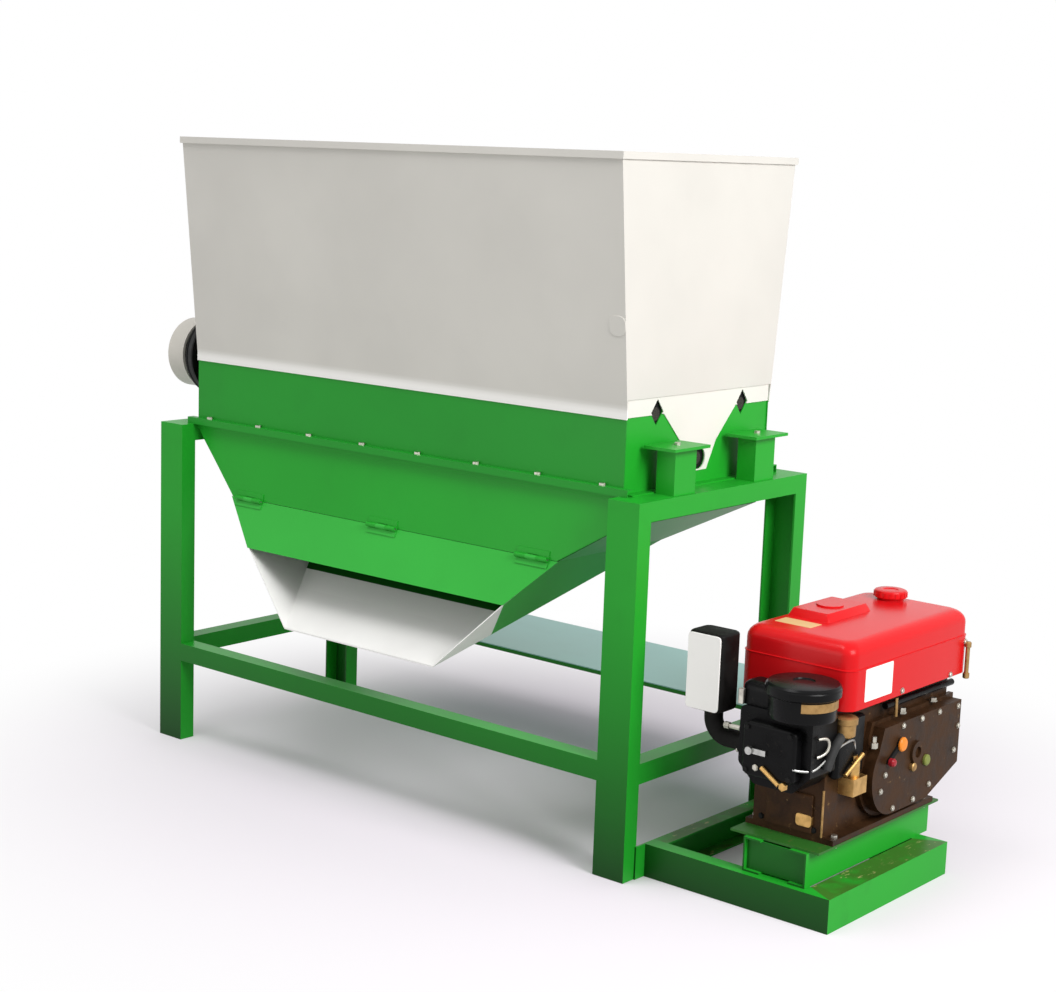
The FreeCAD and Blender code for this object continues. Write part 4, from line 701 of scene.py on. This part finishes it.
class PEELER_OT_muffler(bpy.types.Operator):
    """Model the muffler box, its pale guard and the bolts of the elbow's flange"""
    bl_idname = "peeler.muffler"
    bl_label = "Muffler"

    def execute(self, context):
        sizes = context.scene.peeler_sizes
        low, high = corner_box("muffler")
        thick = sizes.guard_thick
        shell_low = Vector((low.x, low.y + thick, low.z))
        edge = 8 * MM
        levels = [(low.z, edge), (low.z + 3 * MM, 3 * MM), (low.z + edge, 0.0), (high.z - edge, 0.0)]
        shell = rounded_stack(shell_low, high, sizes.muffler_corner, levels + rolled_top(high.z, 0.0, edge, 4), 5)
        finish_piece(shell, "muffler_box", "muffler_black", replaced=("muffler",))
        middle = (low + high) / 2
        guard = pressed_plate((middle.x + 1 * MM, low.y + thick, middle.z), "y", high.x - low.x - 8 * MM,
                              high.z - low.z - 8 * MM, thick, 10 * MM)
        finish_piece(guard, "heat_guard", "guard_pale")
        elbow_low, elbow_high = corner_box("exhaust_elbow")
        y = (elbow_low.y + elbow_high.y) / 2
        x = elbow_high.x - 8 * MM
        heads = [turned((x, y + side * 19 * MM, elbow_low.z + (30 + side * 19) * MM), "x",
                        [(5 * MM, 0.0), (5 * MM, -5 * MM), (4 * MM, -6 * MM)], 6) for side in (-1, 1)]
        finish_piece(joined(heads), "elbow_bolts", "zinc_bolt")
        return {"FINISHED"}


class PEELER_OT_cover_fittings(bpy.types.Operator):
    """Add the bolts and plugs on the gear cover and the fittings above it"""
    bl_idname = "peeler.cover_fittings"
    bl_label = "Gear cover fittings"

    def execute(self, context):
        sizes = context.scene.peeler_sizes
        face = 1445
        rim = ((11, 325), (-7, 285), (60, 226), (165, 226), (247, 249), (374, 316), (390, 380), (383, 436),
               (280, 440), (187, 440), (90, 440))
        heads = [bolt_head(spot(face, y, z), "x", sizes.bolt_radius, sizes.bolt_height) for y, z in rim]
        heads.append(bolt_head(spot(1420, 288, 462), "z", sizes.bolt_radius * 1.3, sizes.bolt_height * 2))
        heads.append(bolt_head(spot(1422, 122, 462), "z", sizes.bolt_radius * 1.2, sizes.bolt_height * 3))
        finish_piece(joined(heads), "cover_bolts", "zinc_bolt")
        plug = turned(spot(face, 150, 318), "x", [(12 * MM, 0.0), (12 * MM, 7 * MM), (9 * MM, 10 * MM)], 32)
        finish_piece(plug, "amber_plug", "dull_tan")
        moss = turned(spot(face, 221, 321), "x", [(15 * MM, 0.0), (15 * MM, 6 * MM), (11 * MM, 9 * MM)], 32)
        finish_piece(moss, "oil_filler_plug", "moss_green")
        rod = tube([spot(1416, 40, 496), spot(1416, 392, 496)], 9 * MM, False)
        finish_piece(rod, "governor_rod", "engine_black")
        breather = tube([spot(1424, 84, 462), spot(1424, 82, 512)], 5 * MM, False)
        finish_piece(breather, "breather_pipe", "dull_tan")
        return {"FINISHED"}


class PEELER_OT_speed_lever(bpy.types.Operator):
    """Model the speed lever: steel arm, red knob and orange cap on its pivot"""
    bl_idname = "peeler.speed_lever"
    bl_label = "Speed lever"

    def execute(self, context):
        low, high = corner_box("speed_lever")
        pivot = spot(1445.3, 77, 395)
        knob = spot(1445.3, 22, 359)
        reach = knob - pivot
        arm = pressed_plate((0.0, 0.0, 0.0), "z", reach.length + 16 * MM, 14 * MM, 6 * MM, 6.9 * MM)
        arm.rotation_euler = (math.radians(90), 0.0, math.radians(90))
        apply_place(arm)
        arm.rotation_euler = (math.atan2(reach.z, reach.y), 0.0, 0.0)
        arm.location = (pivot + knob) / 2
        apply_place(arm)
        hub = turned(pivot, "x", [(15 * MM, 0.0), (15 * MM, 8 * MM)], 32)
        finish_piece(joined([arm, hub]), "steel_lever_arm", "muffler_black", "speed_control",
                     ("speed_lever",))
        cap = turned(pivot, "x", [(17 * MM, 6 * MM), (19 * MM, 7 * MM), (19 * MM, 11 * MM), (16 * MM, 14 * MM),
                                  (8 * MM, 15 * MM)], 40)
        finish_piece(cap, "orange_pivot_cap", "cap_orange", "speed_control")
        grip = turned(knob, "x", [(8 * MM, 4 * MM), (11 * MM, 7 * MM), (11 * MM, 17 * MM), (8 * MM, 21 * MM),
                                  (3 * MM, 22 * MM)], 32)
        finish_piece(grip, "red_lever_knob", "lever_red", "speed_control")
        return {"FINISHED"}


class PEELER_OT_engine_front(bpy.types.Operator):
    """Add the rods, pipes, filter and lugs on the engine's front"""
    bl_idname = "peeler.engine_front"
    bl_label = "Engine front"

    def execute(self, context):
        sizes = context.scene.peeler_sizes
        rod = sizes.rod_radius
        lower = tube([spot(1306, -355, 394), spot(1358, -355, 360)], rod, False)
        nut = turned(spot(1372, -351, 360), "y", [(11 * MM, 0.0), (11 * MM, 10 * MM), (8 * MM, 12 * MM)], 6)
        lug = pressed_plate(spot(1350, -206, 236), "y", 46 * MM, 32 * MM, 10 * MM, 9 * MM)
        finish_piece(joined([lower, nut, lug]), "front_brass_rod", "pump_brass")
        upper = tube([spot(1436, -92, 402), spot(1432, -166, 360)], rod, False)
        finish_piece(upper, "rack_rod", "pump_brass")
        bowl = turned(spot(1431, -176, 462), "z", [(18 * MM, 0.0), (25 * MM, 5 * MM), (26 * MM, 34 * MM),
                                                   (30 * MM, 36 * MM), (30 * MM, 50 * MM), (24 * MM, 54 * MM),
                                                   (8 * MM, 55 * MM)], 40)
        finish_piece(bowl, "fuel_filter_bowl", "dull_tan")
        hose = tube([spot(1431, -190, 470), spot(1434, -222, 452), spot(1436, -250, 425), spot(1434, -262, 396)],
                    12 * MM)
        finish_piece(hose, "filter_hose", "belt_rubber")
        hook = tube([spot(1430, -300, 480), spot(1440, -276, 484), spot(1444, -268, 462), spot(1440, -280, 440),
                     spot(1428, -300, 434)], 4 * MM)
        strap = pressed_plate(spot(1210, -311, 529), "z", 16 * MM, 12 * MM, 38 * MM, 3 * MM)
        union = turned(spot(1168, -316, 466), "x", [(9 * MM, 0.0), (9 * MM, 14 * MM), (6 * MM, 15 * MM),
                                                    (6 * MM, 46 * MM)], 6)
        small = bolt_head(spot(1286, -350, 388), "y", sizes.bolt_radius, sizes.bolt_height)
        joint = turned(spot(1433, -34, 402), "z", [(7 * MM, 0.0), (10 * MM, 2 * MM), (10 * MM, 16 * MM),
                                                   (6 * MM, 18 * MM), (6 * MM, 32 * MM)], 6)
        finish_piece(joined([hook, strap, union, small, joint]), "silver_fittings", "zinc_bolt")
        low, high = corner_box("injection_pump")
        middle = (low + high) / 2
        pipe = tube([Vector((middle.x, middle.y, high.z - 3 * MM)), Vector((middle.x, middle.y, high.z + 34 * MM)),
                     spot(1436, -150, 452), spot(1430, -212, 440), spot(1428, -300, 400), spot(1412, -328, 400),
                     spot(1390, -347, 405)], sizes.pipe_radius)
        finish_piece(pipe, "injector_pipe", "bright_steel")
        housing = rounded_stack(spot(1399, -196, 352), spot(1425, -66, 500), 9 * MM,
                                [(352 * MM, 4 * MM), (356 * MM, 0.0), (496 * MM, 0.0), (500 * MM, 4 * MM)], 4)
        finish_piece(housing, "governor_housing", "engine_black")
        inlet = rounded_stack(spot(1200, -306, 528), spot(1312, -226, 528), 20 * MM,
                              [(528 * MM, 0.0), (562 * MM, 2 * MM)] + rolled_top(588 * MM, 2 * MM, 20 * MM, 5), 5)
        finish_piece(inlet, "inlet_casting", "engine_black")
        edge = tube([spot(1398, -205, 200), spot(1398, -205, 322)], 3 * MM, False)
        finish_piece(edge, "worn_block_edge", "dull_tan")
        return {"FINISHED"}


class PEELER_OT_engine_bolts(bpy.types.Operator):
    """Add the bolts of the rocker cover, the head and the block's lower front"""
    bl_idname = "peeler.engine_bolts"
    bl_label = "Engine bolts"

    def execute(self, context):
        sizes = context.scene.peeler_sizes
        low, high = corner_box("rocker_cover")
        inset = 15 * MM
        heads = []
        for x in (low.x + inset, high.x - inset):
            for z in (low.z + inset, high.z - inset):
                heads.append(bolt_head((x, low.y, z), "y", sizes.bolt_radius, sizes.bolt_height))
        for x in (1220, 1280, 1376):
            heads.append(bolt_head(spot(x, -206, 214), "y", sizes.bolt_radius, sizes.bolt_height))
        finish_piece(joined(heads), "engine_front_bolts", "wheel_black")
        rib = rounded_stack(spot(1236, -214, 206), spot(1372, -206, 206), 3 * MM,
                            [(206 * MM, 0.0), (300 * MM, 0.0), (303 * MM, 2 * MM)], 3)
        finish_piece(rib, "block_front_rib", "engine_iron")
        return {"FINISHED"}


class PEELER_OT_stage(bpy.types.Operator):
    """Set the floor, the studio light and the camera"""
    bl_idname = "peeler.stage"
    bl_label = "Stage"

    def execute(self, context):
        stage = context.scene.peeler_stage
        deselect()
        bpy.ops.mesh.primitive_plane_add(size=60.0, location=(0, 0, -0.0005))
        floor = bpy.context.active_object
        floor.name = "studio_floor"
        floor.data.materials.append(floor_material())
        studio_world(context.scene)
        middle = frame_middle()
        aim = Vector((0.2, 0.0, 0.8))
        for name, place, wide, power in (("key_lamp", (5.6, -1.0, 4.0), 3.0, 340.0),
                                         ("fill_lamp", (-1.5, -5.2, 0.9), 3.0, 50.0),
                                         ("top_lamp", (-0.4, -2.2, 6.0), 2.0, 84.0)):
            lamp = bpy.data.lights.new(name, "AREA")
            lamp.size = wide
            lamp.energy = power
            holder = bpy.data.objects.new(name, lamp)
            context.scene.collection.objects.link(holder)
            holder.location = place
            holder.rotation_euler = (Vector(place) - aim).to_track_quat("Z", "Y").to_euler()
        camera = bpy.data.cameras.new("studio_camera")
        camera.sensor_fit = "HORIZONTAL"
        camera.sensor_width = 36.0
        camera.lens = stage.lens
        camera.clip_end = 100.0
        holder = bpy.data.objects.new("studio_camera", camera)
        context.scene.collection.objects.link(holder)
        holder.matrix_world = camera_place(stage, middle)
        context.scene.camera = holder
        context.scene.view_settings.view_transform = "Standard"
        return {"FINISHED"}


def camera_place(stage, middle):
    """The camera's matrix from its yaw, pitch and roll."""
    yaw, pitch, roll = stage.yaw, stage.pitch, stage.roll
    back = Vector((math.sin(yaw) * math.cos(pitch), -math.cos(yaw) * math.cos(pitch), math.sin(pitch)))
    right = Vector((math.cos(yaw), math.sin(yaw), 0.0))
    up = back.cross(right)
    leaned_right = right * math.cos(roll) + up * math.sin(roll)
    leaned_up = up * math.cos(roll) - right * math.sin(roll)
    turn = Matrix((leaned_right, leaned_up, back)).transposed().to_4x4()
    return Matrix.Translation(middle + Vector(stage.eye)) @ turn


def camera_only(tree):
    """1 for what the camera, a gloss or a clear surface sees directly."""
    path = add(tree, "ShaderNodeLightPath")
    first = add(tree, "ShaderNodeMath", {0: path.outputs["Is Camera Ray"], 1: path.outputs["Is Glossy Ray"]},
                operation="MAXIMUM")
    return add(tree, "ShaderNodeMath", {0: first.outputs[0], 1: path.outputs["Is Transmission Ray"]},
               operation="MAXIMUM").outputs[0]


def floor_material():
    """A pale studio floor that shows soft shadows near the machine and runs out to white farther off."""
    material = bpy.data.materials.new("pale_studio_floor")
    material.use_nodes = True
    tree = material.node_tree
    tree.nodes.clear()
    seen = camera_only(tree)
    paint = blend_colour(tree, seen, (0.45, 0.45, 0.45, 1.0), (0.86, 0.80, 0.865, 1.0))
    plain_floor = add(tree, "ShaderNodeBsdfDiffuse", {"Color": paint})
    white = add(tree, "ShaderNodeEmission", {"Color": (1.0, 1.0, 1.0, 1.0), "Strength": 1.0})
    place = add(tree, "ShaderNodeTexCoord").outputs["Object"]
    away = add(tree, "ShaderNodeVectorMath", {0: place}, operation="LENGTH").outputs["Value"]
    fade = add(tree, "ShaderNodeMapRange", {"Value": away, "From Min": 0.7, "From Max": 2.2},
               interpolation_type="SMOOTHSTEP").outputs["Result"]
    share = add(tree, "ShaderNodeMath", {0: fade, 1: seen}, operation="MULTIPLY").outputs[0]
    both = add(tree, "ShaderNodeMixShader", {0: share, 1: plain_floor.outputs[0], 2: white.outputs[0]})
    add(tree, "ShaderNodeOutputMaterial", {"Surface": both.outputs[0]})
    return material


def studio_world(scene):
    """White to the camera, plain soft light to everything else."""
    world = bpy.data.worlds.new("studio_world")
    scene.world = world
    world.use_nodes = True
    tree = world.node_tree
    tree.nodes.clear()
    soft = add(tree, "ShaderNodeBackground", {"Color": (1.0, 1.0, 1.0, 1.0), "Strength": 0.48})
    white = add(tree, "ShaderNodeBackground", {"Color": (1.0, 1.0, 1.0, 1.0), "Strength": 1.0})
    mixed = add(tree, "ShaderNodeMixShader", {0: camera_only(tree), 1: soft.outputs[0], 2: white.outputs[0]})
    add(tree, "ShaderNodeOutputWorld", {"Surface": mixed.outputs[0]})


class PEELER_PT_panel(bpy.types.Panel):
    """Lists the machine's pieces"""
    bl_label = "Cassava Peeler"
    bl_idname = "PEELER_PT_panel"
    bl_space_type = "VIEW_3D"
    bl_region_type = "UI"
    bl_category = "Peeler"

    def draw(self, context):
        for operator in OPERATORS:
            self.layout.operator(operator.bl_idname)


OPERATORS = (PEELER_OT_stage, PEELER_OT_finishes, PEELER_OT_corner_patch, PEELER_OT_hood, PEELER_OT_hood_fittings, PEELER_OT_fuel_cap,
             PEELER_OT_air_cleaner, PEELER_OT_muffler, PEELER_OT_cover_fittings, PEELER_OT_speed_lever,
             PEELER_OT_engine_front, PEELER_OT_engine_bolts)
CLASSES = (PeelerSizes, PeelerColours, PeelerStage) + OPERATORS + (PEELER_PT_panel,)


def register():
    for each in CLASSES:
        bpy.utils.register_class(each)
    bpy.types.Scene.peeler_sizes = bpy.props.PointerProperty(type=PeelerSizes)
    bpy.types.Scene.peeler_colours = bpy.props.PointerProperty(type=PeelerColours)
    bpy.types.Scene.peeler_stage = bpy.props.PointerProperty(type=PeelerStage)


def unregister():
    del bpy.types.Scene.peeler_stage
    del bpy.types.Scene.peeler_colours
    del bpy.types.Scene.peeler_sizes
    for each in reversed(CLASSES):
        bpy.utils.unregister_class(each)


def main():
    register()
    for operator in OPERATORS:
        group, name = operator.bl_idname.split(".")
        getattr(getattr(bpy.ops, group), name)()


if __name__ == "__main__":
    main()
